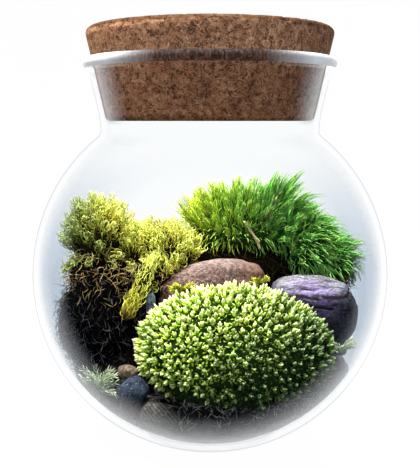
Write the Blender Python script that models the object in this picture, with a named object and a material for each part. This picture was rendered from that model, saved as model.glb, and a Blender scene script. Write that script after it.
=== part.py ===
"""Moss garden in a round glass bowl with a cork stopper, for Blender 4.5.

Sizes and positions are in millimetres and meshes are made in metres, with +Z up.
The origin is the centre of the bowl's foot, on the ground.  The front of the garden faces -Y.
"""

import math
import random

import bmesh
import bpy
from mathutils import Euler, Vector, noise
from mathutils.bvhtree import BVHTree

MM = 0.001
UP = Vector((0, 0, 1))

# Fits
GAP = 0.3                # clearance between pieces that touch
LEAF_CLEARANCE = 0.45    # clearance that a leaf keeps from every other piece

# Glass bowl
GLOBE_RADIUS = 90.0
GLOBE_CENTRE_Z = 83.5
GLOBE_LOWEST = -66.5             # the round wall runs between these angles, in degrees
GLOBE_HIGHEST = 51.2
GLASS_WALL = 2.8
FOOT_HOLLOW = ((0.0, 1.2), (20.0, 1.2), (24.0, 0.0))
FOOT_RADIUS = 32.0
HEEL_RADIUS = 8.0
FLOOR_Z = 5.0
FLOOR_RADIUS = 36.6
FLOOR_CORNER_RADIUS = 6.0
NECK_CORNER = (58.8, 156.8)      # centre of the hollow between globe and neck
NECK_CORNER_RADIUS = 4.0
NECK_OUTER = ((55.6, 165.3), (60.2, 185.6))
RIM_BEAD = ((61.6, 186.8), (62.8, 188.7), (62.5, 190.8), (61.2, 191.9), (59.8, 192.0))
CORK_TAPER = 0.222               # growth of the radius with height, for cork and inner neck
TAPER_START_Z = 165.3
NECK_INNER_RADIUS = 53.0         # at the height TAPER_START_Z
NECK_INNER_ENDS_Z = (190.4, 161.0)
MOUTH_EDGE = (59.55, 191.6)
GLASS_SEGMENTS = 32

# Cork stopper
CORK_RADIUS = 52.7               # at the height TAPER_START_Z
CORK_BOTTOM_Z = 161.5
CORK_TOP_Z = 206.5
CORK_EDGE = 3.0
CORK_SEGMENTS = 32

# Layers
CONTENT_RADIUS = 86.0            # the facets of the inner globe stay just outside it
GRAVEL_TOP_Z = 16.0
GRAVEL_CORE = ((30.0, FLOOR_Z + GAP), (44.0, 10.5), (48.0, GRAVEL_TOP_Z))
GRAVEL_SEGMENTS = 20
EDGE_PEBBLES = 15                # pebbles in the ring round the gravel's edge
EDGE_PEBBLE_SIZE = (5.0, 6.0)
EDGE_PEBBLE_Z = (11.2, 12.6)
SOIL_BOTTOM_Z = GRAVEL_TOP_Z + GAP
SOIL_FRONT_Z = 20.5
SOIL_RISE = 51.0                 # of the bank at the back
BANK_START_Y = -46.0
BANK_LENGTH = 57.0
BANK_MIDDLE_X = -4.0
BANK_HALF_WIDTH = 42.0
BANK_SIDE_SLOPE = 40.0
SOIL_HEAPS = ((-50.0, -27.0, 14.0, 260.0), (56.0, -24.0, 9.0, 300.0))   # x, y, height, spread
SOIL_BUMPS = 1.6
SOIL_SEGMENTS = 26


class Lobe:
    """An ellipsoid, in millimetres, that a stone or a clump is shaped on."""

    def __init__(self, centre, semis, tilt=(0, 0, 0)):
        self.centre = Vector(centre)
        self.semis = Vector(semis)
        self.turn = Euler([math.radians(angle) for angle in tilt]).to_matrix()

    def place(self, local):
        """A point given as fractions of the half axes, in millimetres."""
        stretched = Vector([part * semi for part, semi in zip(local, self.semis)])
        return self.centre + self.turn @ stretched

    def normal(self, direction):
        """The outward normal of the surface point in a direction."""
        slope = Vector([part / semi for part, semi in zip(direction, self.semis)])
        return (self.turn @ slope).normalized()

    def depth(self, point):
        """0 at the centre, 1 on the surface and more outside."""
        local = self.turn.transposed() @ (Vector(point) - self.centre)
        return Vector([part / semi for part, semi in zip(local, self.semis)]).length


# Stones, each a single pebble or rock: shape, detail, bumps, squareness and seed
STONES = {
    "stone_rose": (Lobe((-1.5, -3, 75.5), (30, 16, 14), (0, -10, 0)), 3, 0.14, 0.88, 3),
    "stone_slate": (Lobe((51.5, -8, 64.5), (22.8, 18.5, 17.5), (8, 3, 0)), 3, 0.08, 0.70, 8),
    "stone_dark": (Lobe((57.5, -30, 40.5), (10, 8, 10), (0, 24, 0)), 2, 0.28, 0.80, 5),
    "pebble_tan": (Lobe((-23.4, -50, 24.8), (9.6, 6.6, 7.0), (0, 18, 0)), 2, 0.12, 0.90, 11),
    "pebble_blue": (Lobe((-36.3, -45.4, 35.8), (7.6, 5.8, 6.2), (0, -30, 0)), 2, 0.12, 0.88, 12),
    "pebble_brown": (Lobe((-38.6, -39.5, 23.6), (6.4, 5.2, 5.8), (0, 12, 0)), 2, 0.12, 0.90, 13),
    "pebble_sand": (Lobe((-39.4, -38.3, 42.7), (5.0, 4.2, 3.4), (0, 8, 0)), 2, 0.10, 0.90, 14),
    "pebble_grey_left": (Lobe((-2.0, -54, 21.4), (8.0, 5.4, 4.8), (0, -8, 0)), 2, 0.14, 0.88, 15),
    "pebble_black": (Lobe((15.0, -53, 20.8), (7.0, 5.0, 4.2), (0, 6, 10)), 2, 0.14, 0.86, 16),
    "pebble_grey_right": (Lobe((33.5, -47, 22.6), (8.4, 5.4, 5.0), (0, -10, 30)), 2, 0.14, 0.88, 17),
    "slate_chip": (Lobe((-29.6, -14.5, 68.5), (2.4, 3.2, 8.5), (6, -6, 20)), 2, 0.08, 0.62, 18),
}

# Live moss: lobes of the core, from which the leaves stand out
CUSHION = (Lobe((11.8, -34, 52.2), (45, 30.5, 25.5), (33, 2, 0)),)
FORK = (
    Lobe((20, 27, 103.5), (33.5, 19, 17.5), (0, 3, 0)),
    Lobe((54, 21, 93), (16, 14, 16), (0, 12, 0)),
    Lobe((69, 15, 85), (8.5, 9, 11), (0, 0, 0)),
)
PLUME = (
    Lobe((-58.5, 4, 99.5), (16, 15.5, 17.5), (0, 0, 0)),
    Lobe((-23.5, 8, 93), (17, 13.5, 12), (0, 20, 0)),
    Lobe((-34, -19, 81.5), (4.2, 4.2, 21), (-43, 27.6, 0)),
)

# Dead moss and roots under the live moss
CUSHION_ROOTS = (Lobe((11.5, -36.5, 28.0), (38, 22, 9), (10, 0, 0)),)
FORK_BASE = (
    Lobe((20, 24, 84), (36, 21, 14), (0, 3, 0)),
    Lobe((49, 25, 77), (15, 14, 12), (0, 0, 0)),
    Lobe((64, 17, 69), (10, 10, 13), (0, 0, 0)),
)
PLUME_BASE = (
    Lobe((-55.5, -7, 59), (22.5, 26, 29), (0, 0, 0)),
    Lobe((-31, 5, 75), (23, 17, 14), (0, 8, 0)),
)

# Net of each clump: lobes, points on each lobe, bumps and seed
NETS = {
    "cushion_moss": (CUSHION, (250,), 0.05, 50),
    "fork_moss": (FORK, (104, 54, 28), 0.10, 60),
    "plume_moss": (PLUME, (80, 54, 30), 0.12, 70),
    "cushion_roots": (CUSHION_ROOTS, (50,), 0.12, 80),
    "fork_moss_base": (FORK_BASE, (48, 30, 22), 0.14, 85),
    "plume_moss_base": (PLUME_BASE, (76, 40), 0.16, 90),
}
LIVE_CLUMPS = ("cushion_moss", "fork_moss", "plume_moss")
DEAD_CLUMPS = ("cushion_roots", "fork_moss_base", "plume_moss_base")

# Leaf on each triangle of a net: seed, shortest, longest, lean upwards and spread
NET_LEAVES = {
    "cushion_moss": (51, 4.0, 6.0, 0.2, 0.2),
    "fork_moss": (61, 7.0, 11.0, 0.5, 0.25),
    "plume_moss": (71, 5.0, 8.0, 0.2, 0.3),
    "cushion_roots": (81, 2.5, 5.0, -0.5, 0.4),
    "fork_moss_base": (86, 3.0, 6.0, -0.5, 0.4),
    "plume_moss_base": (91, 3.0, 6.0, -0.4, 0.4),
}
FULL_LEAF_SEMI = 9.0     # on lobes thinner than this the leaves are shorter in proportion
SHORTENED = (1.0, 0.7, 0.45)    # shares of a leaf's length that are tried for room

# Long curved leaves: lobes, directions on each lobe, seed, shortest and longest,
# radii at root and bend, lean upwards, droop and lowest slope
LONG_LEAVES = {
    "fork_moss": (FORK, (54, 30, 14), 9, (13.0, 17.0), (1.5, 1.1), 0.7, 0.4, -0.35),
    "plume_moss": (PLUME[:2], (36, 22), 14, (10.0, 13.0), (1.6, 1.3), 0.35, 0.9, -0.5),
}
ROOT_DEPTH = 2.2         # of a long leaf in its lobe

# Sprigs: free place to drop the root knot from, directions, leaf length and seed
SPRIGS = {
    "sprig_left": ((-55.0, -37.0, 48.0), 18, 10.0, 41),
    "sprig_right": ((64.5, -28.0, 62.0), 9, 6.0, 42),
    "sprig_rear_left": ((-14.0, -20.5, 92.0), 9, 6.5, 43),
    "sprig_rear_right": ((24.5, -15.0, 96.0), 9, 6.5, 44),
}
KNOT_RADIUS = 2.3
SPRIG_LEAF_RADII = (1.0, 0.75)
SPRIG_LEAF_REACH = 0.65  # thickness that a sprig's leaf keeps clear
SPRIG_LEAN = 0.5
SPRIG_DROOP = 0.4

# Stems: path in a free place in front of the fork moss, and radius
STEMS = {
    "straw_stem": (
        ((26.0, -12.0, 95.5), (24.5, -12.4, 100.0), (21.0, -12.9, 105.0), (17.3, -13.2, 110.5)),
        0.9,
    ),
    "dry_twig": (
        ((28.7, -14.0, 111.3), (31.7, -13.0, 115.8), (33.2, -12.0, 120.3), (37.2, -10.0, 124.3)),
        0.8,
    ),
}
STEM_TAPER = 0.35        # share of the radius lost at the top

# Colours, roughness
FINISHES = {
    "glass_bowl": ((0.93, 0.96, 0.97), 0.02),
    "cork_stopper": ((0.34, 0.19, 0.11), 0.85),
    "gravel_bed": ((0.22, 0.20, 0.19), 0.80),
    "potting_soil": ((0.035, 0.026, 0.020), 0.95),
    "stone_rose": ((0.34, 0.20, 0.17), 0.70),
    "stone_slate": ((0.17, 0.15, 0.22), 0.65),
    "stone_dark": ((0.06, 0.06, 0.07), 0.70),
    "pebble_tan": ((0.36, 0.29, 0.22), 0.65),
    "pebble_blue": ((0.13, 0.16, 0.22), 0.60),
    "pebble_brown": ((0.16, 0.10, 0.08), 0.70),
    "pebble_sand": ((0.34, 0.22, 0.15), 0.70),
    "pebble_grey_left": ((0.10, 0.10, 0.10), 0.65),
    "pebble_black": ((0.03, 0.03, 0.035), 0.60),
    "pebble_grey_right": ((0.13, 0.13, 0.14), 0.65),
    "slate_chip": ((0.16, 0.18, 0.24), 0.60),
    "cushion_moss": ((0.26, 0.42, 0.08), 0.75),
    "cushion_roots": ((0.09, 0.075, 0.06), 0.95),
    "fork_moss": ((0.10, 0.34, 0.03), 0.60),
    "fork_moss_base": ((0.06, 0.04, 0.015), 0.95),
    "plume_moss": ((0.42, 0.40, 0.05), 0.75),
    "plume_moss_base": ((0.03, 0.022, 0.014), 0.95),
    "sprig_left": ((0.30, 0.42, 0.16), 0.75),
    "sprig_right": ((0.50, 0.60, 0.36), 0.75),
    "sprig_rear_left": ((0.40, 0.42, 0.06), 0.75),
    "sprig_rear_right": ((0.40, 0.46, 0.08), 0.75),
    "straw_stem": ((0.52, 0.40, 0.20), 0.80),
    "dry_twig": ((0.12, 0.08, 0.05), 0.85),
}


# Scene and objects

def clear_scene():
    """Removes the objects that are in the scene."""
    for item in list(bpy.data.objects):
        bpy.data.objects.remove(item, do_unlink=True)


def finish_material(name):
    """A Principled material with the part's colour and roughness."""
    colour, roughness = FINISHES[name]
    material = bpy.data.materials.new(name + "_finish")
    material.use_nodes = True
    shader = material.node_tree.nodes["Principled BSDF"]
    shader.inputs["Base Color"].default_value = (*colour, 1.0)
    shader.inputs["Roughness"].default_value = roughness
    shader.inputs["Metallic"].default_value = 0.0
    material.diffuse_color = (*colour, 1.0)
    if name == "glass_bowl":
        shader.inputs["Transmission Weight"].default_value = 1.0
        shader.inputs["IOR"].default_value = 1.5
    return material


def plain_object(name, shape, collection=None):
    """An object from vertices in millimetres and faces."""
    points, faces = shape
    mesh = bpy.data.meshes.new(name)
    mesh.from_pydata([Vector(point) * MM for point in points], [], faces)
    mesh.update()
    item = bpy.data.objects.new(name, mesh)
    (collection or bpy.context.scene.collection).objects.link(item)
    return item


def part_object(name, shape, smooth_angle=None):
    """A named sub-part with its material; round pieces are shaded smooth."""
    item = plain_object(name, shape)
    item.data.materials.append(finish_material(name))
    if smooth_angle is not None:
        shade_round(item, smooth_angle)
    return item


def shade_round(item, angle):
    """Smooth shading up to an angle in degrees."""
    item.data.shade_smooth()
    item.data.set_sharp_from_angle(angle=math.radians(angle))


# Mesh tools

def apply_modifiers(item):
    """Turns the evaluated mesh of an object into its plain mesh."""
    bpy.context.view_layer.update()
    depsgraph = bpy.context.evaluated_depsgraph_get()
    result = bpy.data.meshes.new_from_object(item.evaluated_get(depsgraph))
    old = item.data
    item.modifiers.clear()
    item.data = result
    result.name = item.name
    bpy.data.meshes.remove(old)


def combine(item, shapes, operation):
    """One Boolean of an object with a collection of shapes, applied."""
    if not shapes:
        return
    group = bpy.data.collections.new(item.name + "_shapes")
    bpy.context.scene.collection.children.link(group)
    for number, shape in enumerate(shapes):
        plain_object(f"{item.name}_shape_{number}", shape, group)
    modifier = item.modifiers.new(operation.lower(), "BOOLEAN")
    modifier.operation = operation
    modifier.operand_type = "COLLECTION"
    modifier.collection = group
    modifier.solver = "MANIFOLD"
    apply_modifiers(item)
    for helper in list(group.objects):
        bpy.data.objects.remove(helper, do_unlink=True)
    bpy.data.collections.remove(group)


def connected_pieces(body):
    """The faces of a mesh, grouped by the body that they belong to."""
    unseen = set(body.faces)
    pieces = []
    while unseen:
        stack = [unseen.pop()]
        piece = []
        while stack:
            face = stack.pop()
            piece.append(face)
            for edge in face.edges:
                for neighbour in edge.link_faces:
                    if neighbour in unseen:
                        unseen.remove(neighbour)
                        stack.append(neighbour)
        pieces.append(piece)
    return pieces


def reach_of(piece):
    """The longest side of the box round a group of faces."""
    points = [vertex.co for face in piece for vertex in face.verts]
    sides = []
    for axis in range(3):
        places = [point[axis] for point in points]
        sides.append(max(places) - min(places))
    return max(sides)


def keep_largest_piece(item):
    """Drops loose scraps and sealed hollows, so that the object is one closed body."""
    body = bmesh.new()
    body.from_mesh(item.data)
    pieces = sorted(connected_pieces(body), key=reach_of, reverse=True)
    scraps = [face for piece in pieces[1:] for face in piece]
    bmesh.ops.delete(body, geom=scraps, context="FACES")
    body.to_mesh(item.data)
    body.free()


def tree_of(item):
    """A search tree over an object's mesh, in millimetres."""
    points = [vertex.co / MM for vertex in item.data.vertices]
    faces = [tuple(polygon.vertices) for polygon in item.data.polygons]
    return BVHTree.FromPolygons(points, faces)


def trees_of(shapes):
    """Search trees over shapes in millimetres."""
    return [BVHTree.FromPolygons(points, faces) for points, faces in shapes]


def inflate(shape, distance):
    """A copy of a shape, grown along its normals."""
    body = bmesh.new()
    vertices = [body.verts.new(point) for point in shape[0]]
    for face in shape[1]:
        body.faces.new([vertices[index] for index in face])
    body.normal_update()
    points = [vertex.co + vertex.normal * distance for vertex in vertices]
    body.free()
    return points, shape[1]


def lump(lobe, detail, bumps, squareness, seed):
    """A closed bumpy ellipsoid; squareness below 1 pushes it towards a box."""
    ball = bmesh.new()
    bmesh.ops.create_icosphere(ball, subdivisions=detail, radius=1.0)
    shift = Vector((seed * 3.7, seed * 1.3, seed * 2.1))
    points = []
    for vertex in ball.verts:
        way = vertex.co.normalized()
        boxy = Vector([math.copysign(abs(part) ** squareness, part) for part in way])
        bump = 1.0 + bumps * noise.noise(way * 1.7 + shift)
        points.append(lobe.place(boxy * bump))
    faces = [tuple(vertex.index for vertex in face.verts) for face in ball.faces]
    ball.free()
    return points, faces


def inside_globe(point, margin):
    """Tells whether a point keeps a margin from the content sphere."""
    return (Vector(point) - Vector((0, 0, GLOBE_CENTRE_Z))).length < CONTENT_RADIUS - margin


def held_in_globe(shape):
    """Pulls points outside the content sphere back onto it."""
    centre = Vector((0, 0, GLOBE_CENTRE_Z))
    held = []
    for point in shape[0]:
        arm = Vector(point) - centre
        if arm.length > CONTENT_RADIUS:
            arm = arm.normalized() * CONTENT_RADIUS
        held.append(centre + arm)
    return held, shape[1]


def revolve(profile, segments):
    """A closed solid from a profile (radius, height) that starts and ends on the axis."""
    points = []
    rings = []
    for radius, height in profile:
        if radius < 1e-6:
            rings.append([len(points)])
            points.append((0, 0, height))
            continue
        rings.append(list(range(len(points), len(points) + segments)))
        for step in range(segments):
            angle = math.tau * step / segments
            points.append((radius * math.cos(angle), radius * math.sin(angle), height))
    faces = []
    for lower, upper in zip(rings, rings[1:]):
        for step in range(segments):
            after = (step + 1) % segments
            if len(lower) == 1:
                faces.append((lower[0], upper[after], upper[step]))
            elif len(upper) == 1:
                faces.append((lower[step], lower[after], upper[0]))
            else:
                faces.append((lower[step], lower[after], upper[after], upper[step]))
    return points, faces


def arc(centre, radius, start, end, steps):
    """Points of an arc in the profile plane; angles in degrees from the +radius axis."""
    points = []
    for step in range(steps + 1):
        angle = math.radians(start + (end - start) * step / steps)
        points.append((centre[0] + radius * math.cos(angle), centre[1] + radius * math.sin(angle)))
    return points


def spiral_directions(count):
    """Evenly spread directions over the whole sphere."""
    golden = math.pi * (3.0 - math.sqrt(5.0))
    directions = []
    for index in range(count):
        height = 1.0 - 2.0 * (index + 0.5) / count
        ring = math.sqrt(1.0 - height * height)
        angle = golden * index
        directions.append(Vector((ring * math.cos(angle), ring * math.sin(angle), height)))
    return directions


def jitter(rng, amount):
    """A small random vector."""
    return Vector((rng.uniform(-1, 1), rng.uniform(-1, 1), rng.uniform(-1, 1))) * amount


def net_over(lobe, count, bumps, seed):
    """A closed net of triangles over evenly spread points of a lobe."""
    rng = random.Random(seed)
    shift = Vector((seed * 3.7, seed * 1.3, seed * 2.1))
    ball = bmesh.new()
    for way in spiral_directions(count):
        ball.verts.new((way + jitter(rng, 0.6 / math.sqrt(count))).normalized())
    bmesh.ops.convex_hull(ball, input=ball.verts[:])
    ball.verts.index_update()
    points = []
    for vertex in ball.verts:
        bump = 1.0 + bumps * noise.noise(vertex.co * 1.7 + shift)
        points.append(lobe.place(vertex.co * bump))
    faces = [tuple(vertex.index for vertex in face.verts) for face in ball.faces]
    ball.free()
    return held_in_globe((points, faces))


def face_normal(corners):
    """The unit normal of a triangle."""
    return (corners[1] - corners[0]).cross(corners[2] - corners[0]).normalized()


def leaf_is_clear(corners, tip, trees):
    """Checks the foot and the three edges of a leaf on a triangle."""
    foot = list(corners) + [corners[0]]
    edges = [[corner, tip] for corner in corners]
    return all(path_is_clear(line, 0.0, trees) for line in [foot] + edges)


def spiked(net, growth, trees, own_lobe, other_lobes):
    """Raises a leaf from each triangle of a net; where there is no room it stays short or flat."""
    points = [Vector(point) for point in net[0]]
    faces = []
    slimness = min(1.0, min(own_lobe.semis) / FULL_LEAF_SEMI)
    for face in net[1]:
        corners = [points[index] for index in face]
        middle = sum(corners, Vector()) / 3
        out = face_normal(corners)
        leaf = growth(out) * slimness
        tip = None
        buried = any(lobe.depth(middle + leaf) < 1.0 for lobe in other_lobes)
        for share in SHORTENED:
            if buried or leaf.dot(out) < 0:
                break
            if leaf_is_clear(corners, middle + leaf * share, trees):
                tip = middle + leaf * share
                break
        if tip is None:
            faces.append(face)
            continue
        points.append(tip)
        for first, second in zip(face, face[1:] + face[:1]):
            faces.append((first, second, len(points) - 1))
    return points, faces


# Blades

def blade(path, radii, sides=3):
    """A thin closed body round a path, with a ring at each point but the last, its tip."""
    path = [Vector(point) for point in path]
    first = (path[1] - path[0]).normalized()
    across = first.cross(UP)
    if across.length < 0.1:
        across = first.cross(Vector((1, 0, 0)))
    across.normalize()
    points = []
    for index, centre in enumerate(path[:-1]):
        ahead = (path[index + 1] - path[max(index - 1, 0)]).normalized()
        side = (across - ahead * across.dot(ahead)).normalized()
        other = ahead.cross(side)
        for corner in range(sides):
            angle = math.tau * corner / sides
            points.append(centre + (side * math.cos(angle) + other * math.sin(angle)) * radii[index])
    tip = len(points)
    points.append(path[-1])
    faces = [tuple(reversed(range(sides)))]
    for index in range(len(path) - 2):
        for corner in range(sides):
            here = index * sides + corner
            beside = index * sides + (corner + 1) % sides
            faces.append((here, beside, beside + sides, here + sides))
    last = (len(path) - 2) * sides
    for corner in range(sides):
        faces.append((last + corner, last + (corner + 1) % sides, tip))
    return points, faces


def path_is_clear(path, thickness, trees):
    """Checks points along a path against the globe and the neighbouring pieces."""
    reach = thickness + LEAF_CLEARANCE
    for start, end in zip(path, path[1:]):
        steps = max(2, int((end - start).length / 0.7))
        for step in range(steps + 1):
            point = start.lerp(end, step / steps)
            if not inside_globe(point, reach):
                return False
            for tree in trees:
                if tree.find_nearest(point, reach)[0] is not None:
                    return False
    return True


# Glass and cork

def inner_neck_radius(height):
    """Radius of the inner neck wall at a height."""
    return NECK_INNER_RADIUS + CORK_TAPER * (height - TAPER_START_Z)


def globe_arc(radius, start, end, steps):
    """Part of a circle about the globe's centre."""
    return arc((0.0, GLOBE_CENTRE_Z), radius, start, end, steps)


def bowl_profile():
    """Outer side from the foot up to the rim, then the inner side down to the floor."""
    outer = [*FOOT_HOLLOW, (FOOT_RADIUS, 0.0)]
    outer += arc((FOOT_RADIUS, HEEL_RADIUS), HEEL_RADIUS, -78, -67, 1)
    outer += globe_arc(GLOBE_RADIUS, GLOBE_LOWEST, 0, 6)
    outer += globe_arc(GLOBE_RADIUS, 0, GLOBE_HIGHEST, 5)[1:]
    outer += arc(NECK_CORNER, NECK_CORNER_RADIUS, 222, 180, 2)
    outer += [*NECK_OUTER, *RIM_BEAD]
    inner = [MOUTH_EDGE]
    inner += [(inner_neck_radius(height), height) for height in NECK_INNER_ENDS_Z]
    inner += arc(NECK_CORNER, NECK_CORNER_RADIUS + GLASS_WALL, 182, 228, 2)
    inner += globe_arc(GLOBE_RADIUS - GLASS_WALL, 51, -62, 10)
    inner += arc((FLOOR_RADIUS, FLOOR_Z + FLOOR_CORNER_RADIUS), FLOOR_CORNER_RADIUS, -68, -90, 1)
    inner += [(0.0, FLOOR_Z)]
    return outer + inner


def build_glass_bowl():
    """The round bowl with its flat foot, flared neck and beaded rim."""
    return part_object("glass_bowl", revolve(bowl_profile(), GLASS_SEGMENTS), smooth_angle=35)


def cork_radius(height):
    """Radius of the cork at a height."""
    return CORK_RADIUS + CORK_TAPER * (height - TAPER_START_Z)


def build_cork_stopper():
    """The tapered cork with rounded edges, resting in the neck."""
    bottom_edge = (cork_radius(CORK_BOTTOM_Z + CORK_EDGE) - CORK_EDGE, CORK_BOTTOM_Z + CORK_EDGE)
    top_edge = (cork_radius(CORK_TOP_Z - CORK_EDGE) - CORK_EDGE, CORK_TOP_Z - CORK_EDGE)
    profile = [(0.0, CORK_BOTTOM_Z)]
    profile += arc(bottom_edge, CORK_EDGE, -90, -12, 3)
    profile += arc(top_edge, CORK_EDGE, -8, 90, 3)
    profile += [(0.0, CORK_TOP_Z)]
    return part_object("cork_stopper", revolve(profile, CORK_SEGMENTS), smooth_angle=40)


# Layers

def sphere_radius_at(height, inset=0.0):
    """Horizontal radius of the content sphere at a height."""
    rise = height - GLOBE_CENTRE_Z
    return math.sqrt(max((CONTENT_RADIUS - inset) ** 2 - rise ** 2, 0.0))


def build_gravel_bed():
    """A flat-topped bed of pebbles that lies on the glass floor."""
    core = [(0.0, FLOOR_Z + GAP), *GRAVEL_CORE, (0.0, GRAVEL_TOP_Z)]
    bed = part_object("gravel_bed", revolve(core, GRAVEL_SEGMENTS))
    combine(bed, edge_pebbles(), "UNION")
    above = [(0.0, GRAVEL_TOP_Z), (70.0, GRAVEL_TOP_Z), (70.0, 40.0), (0.0, 40.0)]
    combine(bed, [revolve(above, 12)], "DIFFERENCE")
    keep_largest_piece(bed)
    return bed


def edge_pebbles():
    """A ring of pebbles against the glass."""
    rng = random.Random(21)
    pebbles = []
    for index in range(EDGE_PEBBLES):
        angle = math.tau * (index + rng.uniform(-0.15, 0.15)) / EDGE_PEBBLES
        size = rng.uniform(*EDGE_PEBBLE_SIZE)
        height = rng.uniform(*EDGE_PEBBLE_Z)
        reach = sphere_radius_at(height - size * 0.55, 0.2) - size * 0.86
        centre = (reach * math.cos(angle), reach * math.sin(angle), height)
        lobe = Lobe(centre, (size * 1.1, size * 1.35, size * 0.8), (0, 0, math.degrees(angle)))
        pebbles.append(held_in_globe(lump(lobe, 2, 0.12, 0.95, index + 30)))
    return pebbles


def smooth_step(value):
    """0 below 0, 1 above 1, with a soft rise between."""
    value = min(max(value, 0.0), 1.0)
    return value * value * (3.0 - 2.0 * value)


def ground(x, y):
    """Height of the soil: low at the front, a bank at the back, lower at both sides."""
    bank = smooth_step((y - BANK_START_Y) / BANK_LENGTH)
    sides = 1.0 - smooth_step((abs(x - BANK_MIDDLE_X) - BANK_HALF_WIDTH) / BANK_SIDE_SLOPE)
    height = SOIL_FRONT_Z + SOIL_RISE * bank * sides
    for heap_x, heap_y, heap_height, spread in SOIL_HEAPS:
        height += heap_height * math.exp(-((x - heap_x) ** 2 + (y - heap_y) ** 2) / spread)
    return height + SOIL_BUMPS * noise.noise(Vector((x * 0.07, y * 0.07, 4.0)))


def shore(angle):
    """Radius and height at which the soil meets the glass in a direction."""
    radius = 60.0
    height = SOIL_FRONT_Z
    for _ in range(20):
        height = ground(radius * math.cos(angle), radius * math.sin(angle))
        radius = 0.5 * (radius + sphere_radius_at(height))
    return radius, height


def soil_shape():
    """The bank of soil: its top, its side against the glass and its flat bottom."""
    steps_in = 6
    steps_down = 3
    points = [(0, 0, ground(0, 0))]
    rings = []
    edges = [shore(math.tau * step / SOIL_SEGMENTS) for step in range(SOIL_SEGMENTS)]
    for ring in range(1, steps_in + steps_down + 1):
        rings.append(list(range(len(points), len(points) + SOIL_SEGMENTS)))
        for step, (edge_radius, edge_height) in enumerate(edges):
            angle = math.tau * step / SOIL_SEGMENTS
            if ring <= steps_in:
                radius = edge_radius * ring / steps_in
                height = ground(radius * math.cos(angle), radius * math.sin(angle))
                if ring == steps_in:
                    height = edge_height
            else:
                share = (ring - steps_in) / steps_down
                height = edge_height + (SOIL_BOTTOM_Z - edge_height) * share
                radius = sphere_radius_at(height)
            points.append((radius * math.cos(angle), radius * math.sin(angle), height))
    bottom = len(points)
    points.append((0, 0, SOIL_BOTTOM_Z))
    faces = []
    for step in range(SOIL_SEGMENTS):
        after = (step + 1) % SOIL_SEGMENTS
        faces.append((0, rings[0][step], rings[0][after]))
        for inner, outer in zip(rings, rings[1:]):
            faces.append((inner[step], outer[step], outer[after], inner[after]))
        faces.append((rings[-1][step], bottom, rings[-1][after]))
    return points, faces


def build_potting_soil(sunk_shapes):
    """The soil, with a socket for every piece that is bedded in it."""
    soil = part_object("potting_soil", soil_shape())
    combine(soil, [inflate(shape, GAP + 0.05) for shape in sunk_shapes], "DIFFERENCE")
    keep_largest_piece(soil)
    return soil


# Stones

def stone_shapes():
    """The lump of every stone and pebble."""
    shapes = {}
    for name, (lobe, detail, bumps, squareness, seed) in STONES.items():
        shapes[name] = held_in_globe(lump(lobe, detail, bumps, squareness, seed))
    return shapes


def build_stones(shapes):
    """One object for every stone and pebble."""
    return [part_object(name, shape, smooth_angle=50) for name, shape in shapes.items()]


# Moss

def nets_of(name):
    """One net for each lobe of a clump."""
    lobes, counts, bumps, seed = NETS[name]
    return [
        net_over(lobe, count, bumps, seed + number)
        for number, (lobe, count) in enumerate(zip(lobes, counts))
    ]


def build_clump(name, lobe_nets, cutters, trees):
    """A clump of leaves over its lobes, hollowed where other pieces press into it."""
    lobes = NETS[name][0]
    growth = leaf_growth(*NET_LEAVES[name])
    shapes = []
    for own, net in zip(lobes, lobe_nets):
        others = [lobe for lobe in lobes if lobe is not own]
        shapes.append(spiked(net, growth, trees, own, others))
    clump = part_object(name, shapes[0])
    combine(clump, shapes[1:], "UNION")
    combine(clump, [inflate(shape, GAP + 0.05) for shape in cutters], "DIFFERENCE")
    keep_largest_piece(clump)
    return clump


def in_other_lobe(point, lobes, own):
    """Tells whether a point lies inside another lobe of the same clump."""
    return any(lobe is not own and lobe.depth(point) < 0.97 for lobe in lobes)


def grow(clump, shapes):
    """Fuses leaves or strands to a clump."""
    combine(clump, shapes, "UNION")
    keep_largest_piece(clump)


def leaf_growth(seed, shortest, longest, lean, spread):
    """A rule for the leaf that stands on a triangle of a net: its vector from root to tip."""
    rng = random.Random(seed)

    def growth(out):
        direction = (out + UP * lean + jitter(rng, spread)).normalized()
        return direction * rng.uniform(shortest, longest)

    return growth


def arching_leaf(rng, root, out, length, lean, droop):
    """Three points of a leaf that leaves the clump and bends over."""
    first = (out + UP * lean + jitter(rng, 0.22)).normalized()
    second = (first + out * 0.5 - UP * droop + jitter(rng, 0.35)).normalized()
    middle = root + first * length * 0.55
    return [root, middle, middle + second * length * 0.45]


def arching_leaves(name, trees):
    """Long curved leaves, evenly spread over the lobes of a clump."""
    lobes, counts, seed, lengths, radii, lean, droop, lowest = LONG_LEAVES[name]
    rng = random.Random(seed)
    leaves = []
    for lobe, count in zip(lobes, counts):
        for way in spiral_directions(count):
            out = lobe.normal(way)
            root = lobe.place(way) - out * ROOT_DEPTH
            if out.z < lowest or in_other_lobe(root, lobes, lobe):
                continue
            path = arching_leaf(rng, root, out, rng.uniform(*lengths), lean, droop)
            if path_is_clear(path, radii[0], trees):
                leaves.append(blade(path, radii))
    return leaves


# Sprigs and stems

def ball_is_clear(centre, radius, trees):
    """Tells whether a small ball keeps the usual gap from every neighbour."""
    return all(tree.find_nearest(centre, radius + GAP)[0] is None for tree in trees)


def dropped(start, radius, trees):
    """Lowers a small ball from a free place until it rests on what lies under it."""
    centre = Vector(start)
    step = Vector((0, 0, -0.1))
    while centre.z > SOIL_BOTTOM_Z and ball_is_clear(centre + step, radius, trees):
        centre += step
    return centre


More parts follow.
